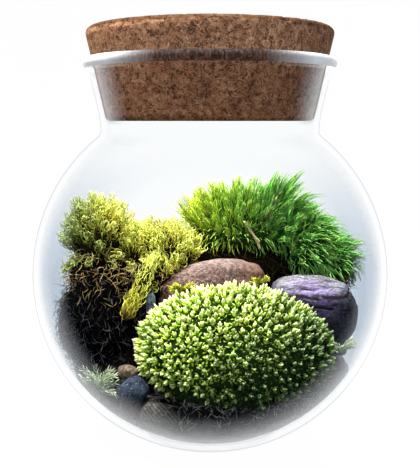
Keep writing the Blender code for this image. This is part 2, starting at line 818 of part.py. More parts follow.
def build_sprig(name, trees):
    """A few leaves from one small root knot."""
    start, count, length, seed = SPRIGS[name]
    rng = random.Random(seed)
    knot = Lobe(dropped(start, KNOT_RADIUS, trees), [KNOT_RADIUS] * 3)
    sprig = part_object(name, lump(knot, 1, 0.0, 1.0, seed))
    leaves = []
    for way in spiral_directions(count * 2):
        if way.z < -0.05:
            continue
        root = knot.place(way * 0.45)
        reach = length * rng.uniform(0.8, 1.1)
        path = arching_leaf(rng, root, way, reach, SPRIG_LEAN, SPRIG_DROOP)
        if path_is_clear(path, SPRIG_LEAF_REACH, trees):
            leaves.append(blade(path, SPRIG_LEAF_RADII))
    grow(sprig, leaves)
    return sprig


def leant_back(path, radius, trees):
    """Moves a stem backwards from a free place until it leans on what stands behind it."""
    path = [Vector(point) for point in path]
    step = Vector((0, 0.1, 0))
    thickness = radius * 0.6 + GAP - LEAF_CLEARANCE
    while path_is_clear([point + step for point in path], thickness, trees):
        path = [point + step for point in path]
    return path


def build_stem(name, trees):
    """A thin round stem that leans on the moss behind it."""
    start, radius = STEMS[name]
    path = leant_back(start, radius, trees)
    steps = len(path) - 1
    radii = [radius * (1.0 - STEM_TAPER * index / steps) for index in range(steps)]
    return part_object(name, blade(path, radii, sides=6), smooth_angle=60)


# The whole object

def build_dead_moss(nets, stones, fixed):
    """Roots and dead moss; each makes room for the live moss and for those built before it."""
    cutters = list(stones)
    for name in LIVE_CLUMPS:
        cutters += nets[name]
    for name in DEAD_CLUMPS:
        clump = build_clump(name, nets[name], cutters, fixed)
        fixed.append(tree_of(clump))
        cutters += nets[name]


def build_live_moss(nets, stones, fixed):
    """Live moss; each clump keeps clear of those built before it and leaves room for the next."""
    cutters = list(stones)
    for number, name in enumerate(LIVE_CLUMPS):
        to_come = [net for later in LIVE_CLUMPS[number + 1:] for net in nets[later]]
        around = fixed + trees_of(to_come)
        clump = build_clump(name, nets[name], cutters, around)
        if name in LONG_LEAVES:
            grow(clump, arching_leaves(name, around))
        fixed.append(tree_of(clump))
        cutters += nets[name]


def build_all():
    """Builds the pieces in the order in which they make room for each other."""
    clear_scene()
    build_glass_bowl()
    build_cork_stopper()
    build_gravel_bed()
    shapes = stone_shapes()
    fixed = [tree_of(item) for item in build_stones(shapes)]
    stones = list(shapes.values())
    nets = {name: nets_of(name) for name in NETS}
    all_nets = [net for name in NETS for net in nets[name]]
    fixed.append(tree_of(build_potting_soil(stones + all_nets)))
    build_dead_moss(nets, stones, fixed)
    build_live_moss(nets, stones, fixed)
    for name in STEMS:
        fixed.append(tree_of(build_stem(name, fixed)))
    for name in SPRIGS:
        build_sprig(name, fixed)


build_all()
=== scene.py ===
"""Moss garden in a round glass bowl with a cork stopper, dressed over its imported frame.

The file is laid out as an add-on and is run as a script.  Shapes are worked out in
millimetres and meshes are made in metres, with +Z up and the front of the garden facing -Y.
"""

import math

import bmesh
import bpy
import numpy as np
from bpy.props import FloatProperty, FloatVectorProperty, IntProperty, PointerProperty
from mathutils import Euler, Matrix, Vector, noise


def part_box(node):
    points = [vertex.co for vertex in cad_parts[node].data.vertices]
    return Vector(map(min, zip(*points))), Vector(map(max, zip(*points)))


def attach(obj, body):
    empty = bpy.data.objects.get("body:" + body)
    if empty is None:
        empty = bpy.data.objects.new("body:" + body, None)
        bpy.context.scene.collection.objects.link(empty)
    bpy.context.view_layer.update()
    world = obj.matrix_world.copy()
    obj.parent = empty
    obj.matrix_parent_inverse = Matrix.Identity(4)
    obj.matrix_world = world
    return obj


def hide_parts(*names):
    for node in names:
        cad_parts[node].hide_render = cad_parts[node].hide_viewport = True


bl_info = {
    "name": "Moss Bowl",
    "version": (1, 0, 0),
    "blender": (4, 5, 0),
    "location": "View3D > Sidebar > Moss Bowl",
    "description": "Builds a moss garden in a round glass bowl with a cork stopper",
    "category": "Add Mesh",
}

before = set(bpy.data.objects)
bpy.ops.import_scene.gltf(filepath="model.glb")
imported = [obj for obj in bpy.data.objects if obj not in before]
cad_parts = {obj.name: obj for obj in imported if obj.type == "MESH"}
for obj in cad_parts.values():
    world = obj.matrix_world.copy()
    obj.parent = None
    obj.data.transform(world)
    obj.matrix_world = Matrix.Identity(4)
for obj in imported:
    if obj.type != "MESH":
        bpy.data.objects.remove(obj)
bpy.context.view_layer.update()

MM = 0.001
UP = np.array((0.0, 0.0, 1.0))
GOLDEN = math.pi * (3.0 - math.sqrt(5.0))

# Bowl and layers, as the frame has them
GLOBE_CENTRE = np.array((0.0, 0.0, 83.5))
NECK_CORNER = (58.8, 156.8)
NECK_RADIUS = 53.0
TAPER_START_Z = 165.3
RIM_LOW_Z = 186.6
RIM_INNER_RADIUS = 59.2
CORK_RADIUS = 52.7
CORK_TAPER = 0.222
CORK_BOTTOM_Z = 161.5
CORK_TOP_Z = 206.5
CORK_EDGE = 3.0
CONTENT_RADIUS = 86.0
FLOOR_Z = 5.0
SOIL_BOTTOM_Z = 16.3
SOIL_FRONT_Z = 20.5
SOIL_RISE = 51.0
SOIL_BUMP_SCALE = 0.07
GRAVEL_TOP_Z = 15.9

# How finely the turned bodies are divided
GLASS_SEGMENTS = 168
CORK_SEGMENTS = 210
CORK_STEP = 1.3
SOIL_SEGMENTS = 180
GRAVEL_SEGMENTS = 72
SWEEP_SEGMENTS = 96


class Lobe:
    """An ellipsoid that a stone or a clump is shaped on."""

    def __init__(self, centre, semis, tilt=(0, 0, 0)):
        self.centre = np.array(centre, dtype=float)
        self.semis = np.array(semis, dtype=float)
        self.turn = np.array(Euler([math.radians(angle) for angle in tilt]).to_matrix())

    def place(self, ways):
        """Points given as fractions of the half axes."""
        return self.centre + (ways * self.semis) @ self.turn.T

    def normals(self, ways):
        """Outward normals of the surface points in these directions."""
        return unit((ways / self.semis) @ self.turn.T)

    def depth(self, points):
        """0 at the centre, 1 on the surface and more outside."""
        local = (points - self.centre) @ self.turn
        return np.linalg.norm(local / self.semis, axis=-1)


# Form of each stone: lobe, detail, bumps, squareness, seed
STONES = {
    "stone_rose": (Lobe((-1.5, -3, 75.5), (30, 16, 14), (0, -10, 0)), 5, 0.14, 0.88, 3),
    "stone_slate": (Lobe((51.5, -8, 64.5), (22.8, 18.5, 17.5), (8, 3, 0)), 6, 0.08, 0.70, 8),
    "stone_dark": (Lobe((57.5, -30, 40.5), (10, 8, 10), (0, 24, 0)), 4, 0.28, 0.80, 5),
    "pebble_tan": (Lobe((-23.4, -50, 24.8), (9.6, 6.6, 7.0), (0, 18, 0)), 4, 0.12, 0.90, 11),
    "pebble_blue": (Lobe((-36.3, -45.4, 35.8), (7.6, 5.8, 6.2), (0, -30, 0)), 4, 0.12, 0.88, 12),
    "pebble_brown": (Lobe((-38.6, -39.5, 23.6), (6.4, 5.2, 5.8), (0, 12, 0)), 4, 0.12, 0.90, 13),
    "pebble_sand": (Lobe((-39.4, -38.3, 42.7), (5.0, 4.2, 3.4), (0, 8, 0)), 4, 0.10, 0.90, 14),
    "pebble_grey_left": (Lobe((-2, -54, 21.4), (8.0, 5.4, 4.8), (0, -8, 0)), 4, 0.14, 0.88, 15),
    "pebble_black": (Lobe((15, -53, 20.8), (7, 5, 4.2), (0, 6, 10)), 4, 0.14, 0.86, 16),
    "pebble_grey_right": (Lobe((33.5, -47, 22.6), (8.4, 5.4, 5.0), (0, -10, 30)), 4, 0.14, 0.88, 17),
    "slate_chip": (Lobe((-29.6, -14.5, 68.5), (2.4, 3.2, 8.5), (6, -6, 20)), 4, 0.08, 0.62, 18),
}
STONE_LOBES = [form[0] for form in STONES.values()]

CUSHION = Lobe((11.8, -34, 52.2), (45, 30.5, 25.5), (33, 2, 0))
FORK = (
    Lobe((20, 27, 103.5), (33.5, 19, 17.5), (0, 3, 0)),
    Lobe((54, 21, 93), (16, 14, 16), (0, 12, 0)),
    Lobe((69, 15, 85), (8.5, 9, 11)),
)
PLUME = (
    Lobe((-58.5, 4, 99.5), (16, 15.5, 17.5)),
    Lobe((-23.5, 8, 93), (17, 13.5, 12), (0, 20, 0)),
    Lobe((-34, -19, 81.5), (4.2, 4.2, 21), (-43, 27.6, 0)),
)
CUSHION_ROOTS = Lobe((11.5, -36.5, 28.0), (38, 22, 9), (10, 0, 0))
FORK_BASE = (
    Lobe((20, 24, 84), (36, 21, 14), (0, 3, 0)),
    Lobe((49, 25, 77), (15, 14, 12)),
    Lobe((64, 17, 69), (10, 10, 13)),
)
PLUME_BASE = (
    Lobe((-55.5, -7, 59), (22.5, 26, 29)),
    Lobe((-31, 5, 75), (23, 17, 14), (0, 8, 0)),
)
# Leaves that close the gap between the two heads
PLUME_SADDLE = Lobe((-41.0, 6, 94), (8.5, 10, 12))
PLUME_SKIRT = Lobe((-21.0, 0, 82), (15, 12.5, 9.5))
# Curly brown part between the live plumes and their dead base
PLUME_NECK = (
    Lobe((-57, -1, 83), (17.5, 18, 13)),
    Lobe((-27, 3, 80), (17, 15, 11), (0, 10, 0)),
)


# Settings that a user may change

def length(name, description, default):
    """A length in metres."""
    return FloatProperty(name=name, description=description, default=default, min=0.0,
                         unit="LENGTH", subtype="DISTANCE", precision=4)


def colour(name, description, default):
    """A colour without alpha."""
    return FloatVectorProperty(name=name, description=description, default=default,
                               size=3, min=0.0, max=1.0, subtype="COLOR")


class MossBowlSizes(bpy.types.PropertyGroup):
    """Sizes of the bowl and of the plants' parts."""

    globe_radius: length("Globe radius", "Outer radius of the glass globe", 0.090)
    glass_wall: length("Glass wall", "Thickness of the glass", 0.0028)
    cork_pit: length("Cork pits", "Depth of the gaps between the cork flakes", 0.0006)
    shoot_spacing: length("Shoot spacing", "Distance between cushion moss shoots", 0.0028)
    shoot_leaf: length("Shoot leaf", "Length of a cushion moss leaf", 0.0030)
    fork_leaf: length("Fork leaf", "Length of a fork moss leaf", 0.0135)
    plume_leaf: length("Plume leaf", "Length of a curled plume moss leaf", 0.0062)
    strand: length("Dead strand", "Length of a dead leaf or root fibre", 0.0080)
    gravel: length("Gravel", "Radius of a drainage pebble", 0.0048)
    fork_leaves: IntProperty(name="Leaves in a tuft", description="Fork moss leaves in each tuft",
                             default=14, min=3, max=60)


class MossBowlColours(bpy.types.PropertyGroup):
    """Main colours of the materials."""

    # Colour of the painted blue-grey reflection just inside the glass's edge
    glass: colour("Glass", "Tint of the clear glass", (0.69, 0.75, 0.82))
    cork_light: colour("Light cork", "Palest cork flakes", (1.0, 0.56, 0.31))
    cork_dark: colour("Dark cork", "Darkest cork flakes", (0.50, 0.21, 0.115))
    soil: colour("Soil", "Damp potting soil", (0.011, 0.009, 0.008))
    rose: colour("Rose stone", "Top of the pinkish stone", (0.34, 0.26, 0.24))
    violet: colour("Violet stain", "Stain on the grey stone", (0.12, 0.07, 0.27))
    cushion_tip: colour("Cushion tips", "Tips of the cushion moss", (0.83, 0.90, 0.50))
    cushion_leaf: colour("Cushion leaves", "Middle of a cushion leaf", (0.30, 0.52, 0.045))
    fork_left: colour("Fork moss, sunny", "Leaves on the left of the fork moss", (0.58, 0.76, 0.06))
    fork_right: colour("Fork moss, shaded", "Leaves on its right", (0.16, 0.49, 0.10))
    plume_gold: colour("Plume moss", "Curled leaves of the plume moss", (0.66, 0.68, 0.07))
    dead: colour("Dead moss", "Dead leaves under the live moss", (0.014, 0.014, 0.016))


def sizes():
    """The scene's sizes."""
    return bpy.context.scene.moss_bowl_sizes


def colours():
    """The scene's colours."""
    return bpy.context.scene.moss_bowl_colours


# Numbers and vectors

def unit(vectors):
    """Vectors of length one."""
    return vectors / np.maximum(np.linalg.norm(vectors, axis=-1, keepdims=True), 1e-9)


def dot(first, second):
    """Scalar products that keep their last axis."""
    return np.sum(first * second, axis=-1, keepdims=True)


def smooth(value, start, end):
    """0 at the start, 1 at the end, with a soft rise between."""
    share = np.clip((value - start) / (end - start), 0.0, 1.0)
    return share * share * (3.0 - 2.0 * share)


def cloudy(points, scale, seed):
    """Soft noise between -1 and 1 at points."""
    shift = Vector((seed * 3.1, seed * 1.7, seed * 0.9))
    return np.array([noise.noise(Vector(point) * scale + shift) for point in points])


def jitter(rng, count, amount):
    """Small random vectors."""
    return rng.uniform(-1.0, 1.0, (count, 3)) * amount


def beside(axes):
    """Two unit vectors square to each axis."""
    helper = np.where(np.abs(axes[:, 2:]) < 0.9, UP, np.array((1.0, 0.0, 0.0)))
    side = unit(np.cross(axes, helper))
    return side, np.cross(axes, side)


def scattered(lobe, spacing, rng):
    """Directions to evenly spread surface points of a lobe that keep a spacing."""
    area = 4 * math.pi * (np.prod(lobe.semis) ** (2 / 3))
    ways = unit(rng.normal(size=(int(area / spacing ** 2 * 14), 3)))
    stretch = np.linalg.norm(ways / lobe.semis, axis=1)
    ways = ways[rng.uniform(0, stretch.max(), len(ways)) < stretch]
    points = lobe.place(ways)
    kept = []
    taken = np.empty((0, 3))
    for index, point in enumerate(points):
        if len(kept) == 0 or np.min(np.sum((taken - point) ** 2, axis=1)) > spacing ** 2:
            kept.append(index)
            taken = np.vstack([taken, point])
    return ways[kept]


def outside(points, lobes, margin=1.0):
    """True for points outside all the lobes."""
    free = np.ones(points.shape[:-1], dtype=bool)
    for lobe in lobes:
        free &= lobe.depth(points) > margin
    return free


def in_glass(points, margin=0.3):
    """True for points that stay inside the glass."""
    return np.linalg.norm(points - GLOBE_CENTRE, axis=-1) < CONTENT_RADIUS - margin


# Leaves and strands

# Cross sections: a folded leaf, a cupped leaf and a thin strand
LEAF = ((-1.0, 0.0), (0.0, -0.45), (1.0, 0.0))
CUPPED = ((-1.0, 0.25), (0.0, -0.5), (1.0, 0.25))
STRAND = ((0.0, 1.0), (-0.87, -0.5), (0.87, -0.5))

# Width along each kind of leaf, up to its point
BUD_TAPER = (0.55, 0.95, 1.0, 0.68)
FORK_TAPER = (0.8, 1.0, 1.0, 0.85, 0.6)
HOOK_TAPER = (1.0, 0.95, 0.95, 0.9, 0.8, 0.7, 0.5)
STRAND_TAPER = (1.0, 0.95, 0.85, 0.7, 0.45)
SPRIG_TAPER = (0.9, 1.0, 0.7)

FOOT_LEAVES = 4
BUD_LEAVES = 6


def curving(roots, ahead, towards, lengths, turns, steps, late=1.0):
    """Paths that leave their roots ahead and turn towards a second direction."""
    across = unit(towards - ahead * dot(towards, ahead))
    share = ((np.arange(steps) + 0.5) / steps) ** late
    angle = turns[:, None] * share[None, :]
    way = ahead[:, None] * np.cos(angle)[..., None] + across[:, None] * np.sin(angle)[..., None]
    hops = np.cumsum(way * (lengths / steps)[:, None, None], axis=1)
    return np.concatenate([roots[:, None], roots[:, None] + hops], axis=1)


def points_along(paths, shares):
    """Points at shares of many paths of equal steps."""
    steps = paths.shape[1] - 1
    place = np.clip(shares, 0.0, 1.0) * steps
    before = np.minimum(place.astype(int), steps - 1)
    rows = np.arange(len(paths))[:, None]
    part = (place - before)[..., None]
    return paths[rows, before] * (1.0 - part) + paths[rows, before + 1] * part


def blades(paths, side, width, profile, form):
    """Closed tapering blades round many paths; returns points, faces and the share along them."""
    count, steps, _ = paths.shape
    ahead = unit(np.gradient(paths, axis=1))
    across = unit(side[:, None] - ahead * dot(side[:, None], ahead))
    over = np.cross(ahead, across)
    corners = np.array(form)
    sides = len(corners)
    reach = (width[:, None] * np.array(profile)[None, :])[:, :, None, None]
    rings = across[:, :-1, None] * corners[None, None, :, :1]
    rings = rings + over[:, :-1, None] * corners[None, None, :, 1:]
    rings = paths[:, :-1, None] + rings * reach
    points = np.concatenate([rings.reshape(count, -1, 3), paths[:, -1:]], axis=1)
    tip = (steps - 1) * sides
    faces = [(2, 1, 0)]
    for ring in range(steps - 2):
        for corner in range(sides):
            here = ring * sides + corner
            after = ring * sides + (corner + 1) % sides
            faces += [(here, after, after + sides), (here, after + sides, here + sides)]
    for corner in range(sides):
        faces.append((tip - sides + corner, tip - sides + (corner + 1) % sides, tip))
    faces = np.array(faces)[None] + (np.arange(count) * (tip + 1))[:, None, None]
    along = np.append(np.repeat(np.arange(steps - 1) / (steps - 1), sides), 1.0)
    return points.reshape(-1, 3), faces.reshape(-1, 3), np.tile(along, count)


class Growth:
    """Collects bodies of one piece with what each point tells its material."""

    def __init__(self):
        self.points = []
        self.faces = []
        self.marks = {"tip": [], "rise": [], "shade": [], "tone": []}
        self.total = 0

    def add(self, points, faces, **marks):
        """Adds a body; marks are numbers or one value for each point."""
        self.points.append(points)
        self.faces.append(np.asarray(faces) + self.total)
        self.total += len(points)
        for name, values in self.marks.items():
            values.append(np.broadcast_to(marks.get(name, 0.0), len(points)))

    def add_blades(self, paths, side, width, profile, form, rise, shade, tone):
        """Adds blades with one rise, shade and tone for each."""
        points, faces, along = blades(paths, side, width, profile, form)
        each = len(points) // len(paths)
        self.add(points, faces, tip=along, rise=np.repeat(rise, each),
                 shade=np.repeat(shade, each), tone=np.repeat(tone, each))

    def add_core(self, lobe, size, seed, tone, detail=4):
        """Adds the dark body that the leaves stand on; under live leaves its dark colour is painted shade."""
        points, faces = lump(lobe, detail, 0.05, 1.0, seed)
        points = lobe.centre + (points - lobe.centre) * size
        self.add(kept_in_globe(points), faces, rise=0.0, shade=0.1, tone=tone)

    def piece(self, name, material):
        """The finished object."""
        item = mesh_piece(name, np.concatenate(self.points), np.concatenate(self.faces), material)
        for mark, values in self.marks.items():
            layer = item.data.attributes.new(mark, "FLOAT", "POINT")
            layer.data.foreach_set("value", np.concatenate(values).astype(np.float32))
        return item


# Meshes and pieces

def mesh_piece(name, points, faces, material):
    """A smooth shaded object from points in millimetres and faces."""
    mesh = bpy.data.meshes.new(name)
    mesh.from_pydata((np.asarray(points) * MM).tolist(), [], [list(map(int, face)) for face in faces])
    mesh.update()
    mesh.shade_smooth()
    mesh.materials.append(material)
    item = bpy.data.objects.new(name, mesh)
    bpy.context.scene.collection.objects.link(item)
    return item


def mark_points(item, name, values):
    """Stores one number for each point of a piece."""
    layer = item.data.attributes.new(name, "FLOAT", "POINT")
    layer.data.foreach_set("value", np.asarray(values, dtype=np.float32))


def hand_over(item, name):
    """A piece rides on the bowl's body and hides the node it stands for."""
    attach(item, "root")
    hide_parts(name)


def kept_in_globe(points, radius=CONTENT_RADIUS):
    """Pulls points outside the content sphere back onto it."""
    arms = points - GLOBE_CENTRE
    reach = np.linalg.norm(arms, axis=1, keepdims=True)
    return GLOBE_CENTRE + arms * np.minimum(1.0, radius / np.maximum(reach, 1e-6))


def ball(detail):
    """Directions and faces of an evenly divided ball."""
    body = bmesh.new()
    bmesh.ops.create_icosphere(body, subdivisions=detail, radius=1.0)
    ways = unit(np.array([vertex.co[:] for vertex in body.verts]))
    faces = np.array([[vertex.index for vertex in face.verts] for face in body.faces])
    body.free()
    return ways, faces


def lump(lobe, detail, bumps, squareness, seed):
    """A closed bumpy ellipsoid; squareness below 1 pushes it towards a box."""
    ways, faces = ball(detail)
    shift = Vector((seed * 3.7, seed * 1.3, seed * 2.1))
    boxy = np.sign(ways) * np.abs(ways) ** squareness
    bump = 1.0 + bumps * np.array([noise.noise(Vector(way) * 1.7 + shift) for way in ways])
    return lobe.place(boxy * bump[:, None]), faces


def ring_faces(rings, segments):
    """Faces of a closed turned body: its first point, its rings and its last point."""
    last = 1 + rings * segments
    faces = []
    for step in range(segments):
        after = (step + 1) % segments
        faces.append((0, 1 + after, 1 + step))
        for ring in range(rings - 1):
            here = 1 + ring * segments
            faces.append((here + step, here + after, here + segments + after, here + segments + step))
        here = 1 + (rings - 1) * segments
        faces.append((here + step, here + after, last))
    return faces


def turned(profile, segments):
    """Points of the rings that a profile makes round the axis."""
    turns = np.arange(segments) * math.tau / segments
    points = []
    for radius, height in profile:
        points += [(radius * math.cos(turn), radius * math.sin(turn), height) for turn in turns]
    return points


def revolved(profile, segments):
    """Points and faces of a solid turned from a profile that starts and ends on the axis."""
    points = [(0.0, 0.0, profile[0][1])] + turned(profile[1:-1], segments) + [(0.0, 0.0, profile[-1][1])]
    return np.array(points), ring_faces(len(profile) - 2, segments)


def arc(centre, radius, start, end, steps):
    """Points of an arc in the profile plane; angles in degrees from the +radius axis."""
    angles = np.radians(np.linspace(start, end, steps + 1))
    return [(centre[0] + radius * math.cos(angle), centre[1] + radius * math.sin(angle))
            for angle in angles]


def finer(profile, longest):
    """A profile with points added so that no side is longer than a length."""
    points = [profile[0]]
    for start, end in zip(profile, profile[1:]):
        steps = max(1, math.ceil(math.dist(start, end) / longest))
        for step in range(1, steps + 1):
            share = step / steps
            points.append((start[0] + (end[0] - start[0]) * share,
                           start[1] + (end[1] - start[1]) * share))
    return points


# Materials

def new_finish(name, roughness, specular=0.5, **fixed):
    """A material with its node tree and shader; fixed values go straight onto the shader."""
    material = bpy.data.materials.new(name)
    material.use_nodes = True
    shader = material.node_tree.nodes["Principled BSDF"]
    shader.inputs["Roughness"].default_value = roughness
    shader.inputs["Specular IOR Level"].default_value = specular
    for socket, value in fixed.items():
        shader.inputs[socket.replace("_", " ")].default_value = value
    return material, material.node_tree, shader


def node(tree, kind, inputs=None, **settings):
    """A node with its settings; inputs are numbers, colours or sockets."""
    made = tree.nodes.new("ShaderNode" + kind)
    for name, value in settings.items():
        setattr(made, name, value)
    for key, value in (inputs or {}).items():
        if isinstance(value, bpy.types.NodeSocket):
            tree.links.new(value, made.inputs[key])
        else:
            made.inputs[key].default_value = value
    return made


def where(tree):
    """Places on the object, in metres."""
    return node(tree, "TexCoord").outputs["Object"]


def mark(tree, name):
    """The number that the mesh stores under a name."""
    return node(tree, "Attribute", attribute_name=name).outputs["Fac"]


def clouds(tree, place, scale, detail=4.0, distortion=0.0, roughness=0.55):
    """A noise value."""
    return node(tree, "TexNoise", {"Vector": place, "Scale": scale, "Detail": detail,
                                   "Distortion": distortion, "Roughness": roughness}).outputs["Fac"]


def math_node(tree, operation, first, second=0.0):
    """The result of a sum, product or the like."""
    return node(tree, "Math", {0: first, 1: second}, operation=operation).outputs[0]


def product(tree, first, second):
    """Two numbers multiplied."""
    return math_node(tree, "MULTIPLY", first, second)


def larger(tree, first, second):
    """The larger of two numbers."""
    return math_node(tree, "MAXIMUM", first, second)


def rescaled(tree, value, start, end, low, high, **settings):
    """A number that goes from low to high while a value goes from start to end."""
    return node(tree, "MapRange", {"Value": value, 1: start, 2: end, 3: low, 4: high}, **settings).outputs[0]


def axis_of(tree, place, axis):
    """One coordinate of a place."""
    return node(tree, "SeparateXYZ", {0: place}).outputs[axis]


def cell_values(tree, place, scale):
    """A random number for each of many small cells."""
    cells = node(tree, "TexVoronoi", {"Vector": place, "Scale": scale}).outputs["Color"]
    return node(tree, "SeparateColor", {0: cells}).outputs[0]


def stretched(tree, place, scale):
    """Places squeezed along the axes, so that a pattern on them is drawn out."""
    return node(tree, "Mapping", {"Vector": place, "Scale": scale}).outputs[0]


def ramp(tree, value, stops):
    """A colour that changes with a value; stops are (position, colour)."""
    made = node(tree, "ValToRGB", {"Fac": value})
    elements = made.color_ramp.elements
    while len(elements) < len(stops):
        elements.new(0.5)
    for element, (position, tint) in zip(elements, stops):
        element.position = position
        element.color = (*tint[:3], 1.0)
    return made.outputs["Color"]


def grey_ramp(tree, value, stops):
    """A number that changes with a value; stops are (position, number)."""
    return ramp(tree, value, [(position, (level, level, level)) for position, level in stops])


def mixed(tree, share, first, second, blend="MIX"):
    """Two colours mixed by a share."""
    made = node(tree, "Mix", data_type="RGBA", blend_type=blend)
    sockets = [made.inputs[0], made.inputs[6], made.inputs[7]]
    for socket, value in zip(sockets, (share, first, second)):
        if isinstance(value, bpy.types.NodeSocket):
            tree.links.new(value, socket)
        elif isinstance(value, (int, float)):
            socket.default_value = value
        else:
            socket.default_value = (*value[:3], 1.0)
    return made.outputs[2]


def stained(tree, tint, factor):
    """A colour multiplied by another."""
    return mixed(tree, 1.0, tint, factor, "MULTIPLY")


def dyed(tree, shader, tint):
    """Puts a colour on the shader."""
    tree.links.new(tint, shader.inputs["Base Color"])


def bumped(tree, shader, height, strength, distance):
    """Puts a relief on the shader; the distance is in metres."""
    made = node(tree, "Bump", {"Height": height, "Strength": strength, "Distance": distance})
    tree.links.new(made.outputs["Normal"], shader.inputs["Normal"])


def times(tint, factor):
    """A colour made darker or brighter."""
    return tuple(min(1.0, part * factor) for part in tint)


def mean(first, second):
    """The colour half way between two."""
    return tuple((one + other) * 0.5 for one, other in zip(first, second))


def leaf_finish(name, first_stops, second_stops, roughness=0.5):
    """Leaves coloured along their length, between two ramps by tone and varied leaf by leaf; dark towards
    their roots, partly their own colour and partly painted shade among the leaves.
    """
    material, tree, shader = new_finish(name, roughness, 0.04)
    place = where(tree)
    tip = product(tree, mark(tree, "tip"), 0.55)
    rise = product(tree, mark(tree, "rise"), 0.45)
    along = math_node(tree, "ADD", tip, rise)
    tint = mixed(tree, mark(tree, "tone"), ramp(tree, along, first_stops),
                 ramp(tree, along, second_stops))
    patches = clouds(tree, place, 120.0)
    vary = math_node(tree, "ADD", mark(tree, "shade"), product(tree, patches, 0.5))
    value = rescaled(tree, vary, 0.0, 1.5, 0.55, 1.45)
    hue = rescaled(tree, patches, 0.3, 0.7, 0.485, 0.515)
    varied = node(tree, "HueSaturation", {"Hue": hue, "Value": value, "Color": tint})
    dyed(tree, shader, varied.outputs[0])
    bumped(tree, shader, clouds(tree, place, 2600.0, 2.0), 0.35, 0.0001)
    return material


def stone_finish(name, base, dark, pale, scale=420.0, roughness=0.6, layers=None):
    """Speckled stone; layers may add more colour to it."""
    material, tree, shader = new_finish(name, roughness, 0.08)
    place = where(tree)
    cloud = clouds(tree, place, scale * 0.22, 5.0, 0.6)
    tint = ramp(tree, cloud, [(0.32, times(base, 0.72)), (0.5, base), (0.68, times(base, 1.25))])
    grains = clouds(tree, place, scale, 6.0, 0.0, 0.7)
    tint = mixed(tree, grey_ramp(tree, grains, [(0.50, 0.0), (0.62, 0.8)]), tint, dark)
    flecks = node(tree, "TexVoronoi", {"Vector": place, "Scale": scale * 1.6}).outputs["Distance"]
    tint = mixed(tree, grey_ramp(tree, flecks, [(0.10, 0.75), (0.24, 0.0)]), tint, pale)
    mottle = grey_ramp(tree, cell_values(tree, place, scale * 1.7), [(0.08, 0.45), (0.5, 0.85), (0.92, 1.0)])
    if layers:
        tint = layers(tree, place, tint)
    dyed(tree, shader, stained(tree, tint, mottle))
    relief = math_node(tree, "ADD", grains, product(tree, flecks, 0.5))
    bumped(tree, shader, relief, 0.5, 0.0005)
    return material


# Glass

# Ramps on the glass hold 0.2 m of height
RAMP_PER_METRE = 5.0


def bowl_profile():
    """Outer side from the foot up to the rim, then the inner side down to the floor."""
    centre = (0.0, GLOBE_CENTRE[2])
    radius = sizes().globe_radius / MM
    wall = sizes().glass_wall / MM
    outer = [(0.0, 1.2), (20.0, 1.2), (22.0, 0.7), (24.0, 0.0), (32.0, 0.0)]
    outer += arc((32.0, 8.0), 8.0, -84, -67, 3)
    outer += arc(centre, radius, -66.5, 51.2, 48)
    outer += arc(NECK_CORNER, 4.0, 222, 180, 8)
    outer += [(55.1, 161.0), (55.6, 165.3), (57.9, 175.5), (60.2, 185.6)]
    outer += [(60.9, 186.1), (61.6, 186.8), (62.4, 187.7), (62.8, 188.7), (62.8, 189.8),
              (62.5, 190.8), (61.9, 191.5), (61.2, 191.9), (59.8, 192.0)]
    neck = [(NECK_RADIUS + CORK_TAPER * (height - TAPER_START_Z), height)
            for height in (190.4, 185.0, 178.0, 171.0, 165.3, 161.0)]
    inner = [(neck[0][0] + 0.5, 191.6)] + neck
    inner += arc(NECK_CORNER, 4.0 + wall, 182, 228, 8)
    inner += arc(centre, radius - wall, 51.0, -62.0, 46)
    inner += arc((36.6, FLOOR_Z + 6.0), 6.0, -68, -90, 4)
    inner += [(0.0, FLOOR_Z)]
    return outer + inner


def clear_glass():
    """Clear glass, bright at its edge; a painted blue-grey reflection tints it just inside the edge, most so
    low on the globe, and a painted grey line runs round its outer edge.
    """
    material, tree, shader = new_finish(
        "clear_glass", 0.0, 0.5, Transmission_Weight=1.0, IOR=1.0, Specular_Tint=(0.0, 0.0, 0.0, 1.0),
        Coat_IOR=2.0, Coat_Roughness=0.0)
    facing = node(tree, "LayerWeight", {"Blend": 0.5}).outputs["Facing"]
    height = product(tree, axis_of(tree, where(tree), "Z"), RAMP_PER_METRE)
    side = grey_ramp(tree, facing, [(0.20, 0.0), (0.45, 1.0), (0.66, 1.0), (0.80, 0.05)])
    low = grey_ramp(tree, height,
                    [(0.04, 0.1), (0.26, 1.0), (0.45, 1.0), (0.72, 0.0), (0.80, 0.0), (0.86, 0.4)])
    # Painted reflection: a blue-grey tint just inside the edge, most of it low on the globe
    tint = mixed(tree, product(tree, side, low), (0.975, 0.985, 0.99), colours().glass)
    neck = grey_ramp(tree, height, [(0.78, 0.0), (0.82, 0.07)])
    haze = grey_ramp(tree, math_node(tree, "ADD", facing, neck),
                     [(0.45, 0.0), (0.72, 1.0), (0.84, 1.0), (0.91, 0.0)])
    tree.links.new(haze, shader.inputs["Coat Weight"])
    # Painted dark line along the outer edge
    outline = product(tree, grey_ramp(tree, facing, [(0.86, 0.0), (0.94, 1.0)]), mark(tree, "outer"))
    dyed(tree, shader, mixed(tree, outline, tint, (0.70, 0.71, 0.73)))
    return material


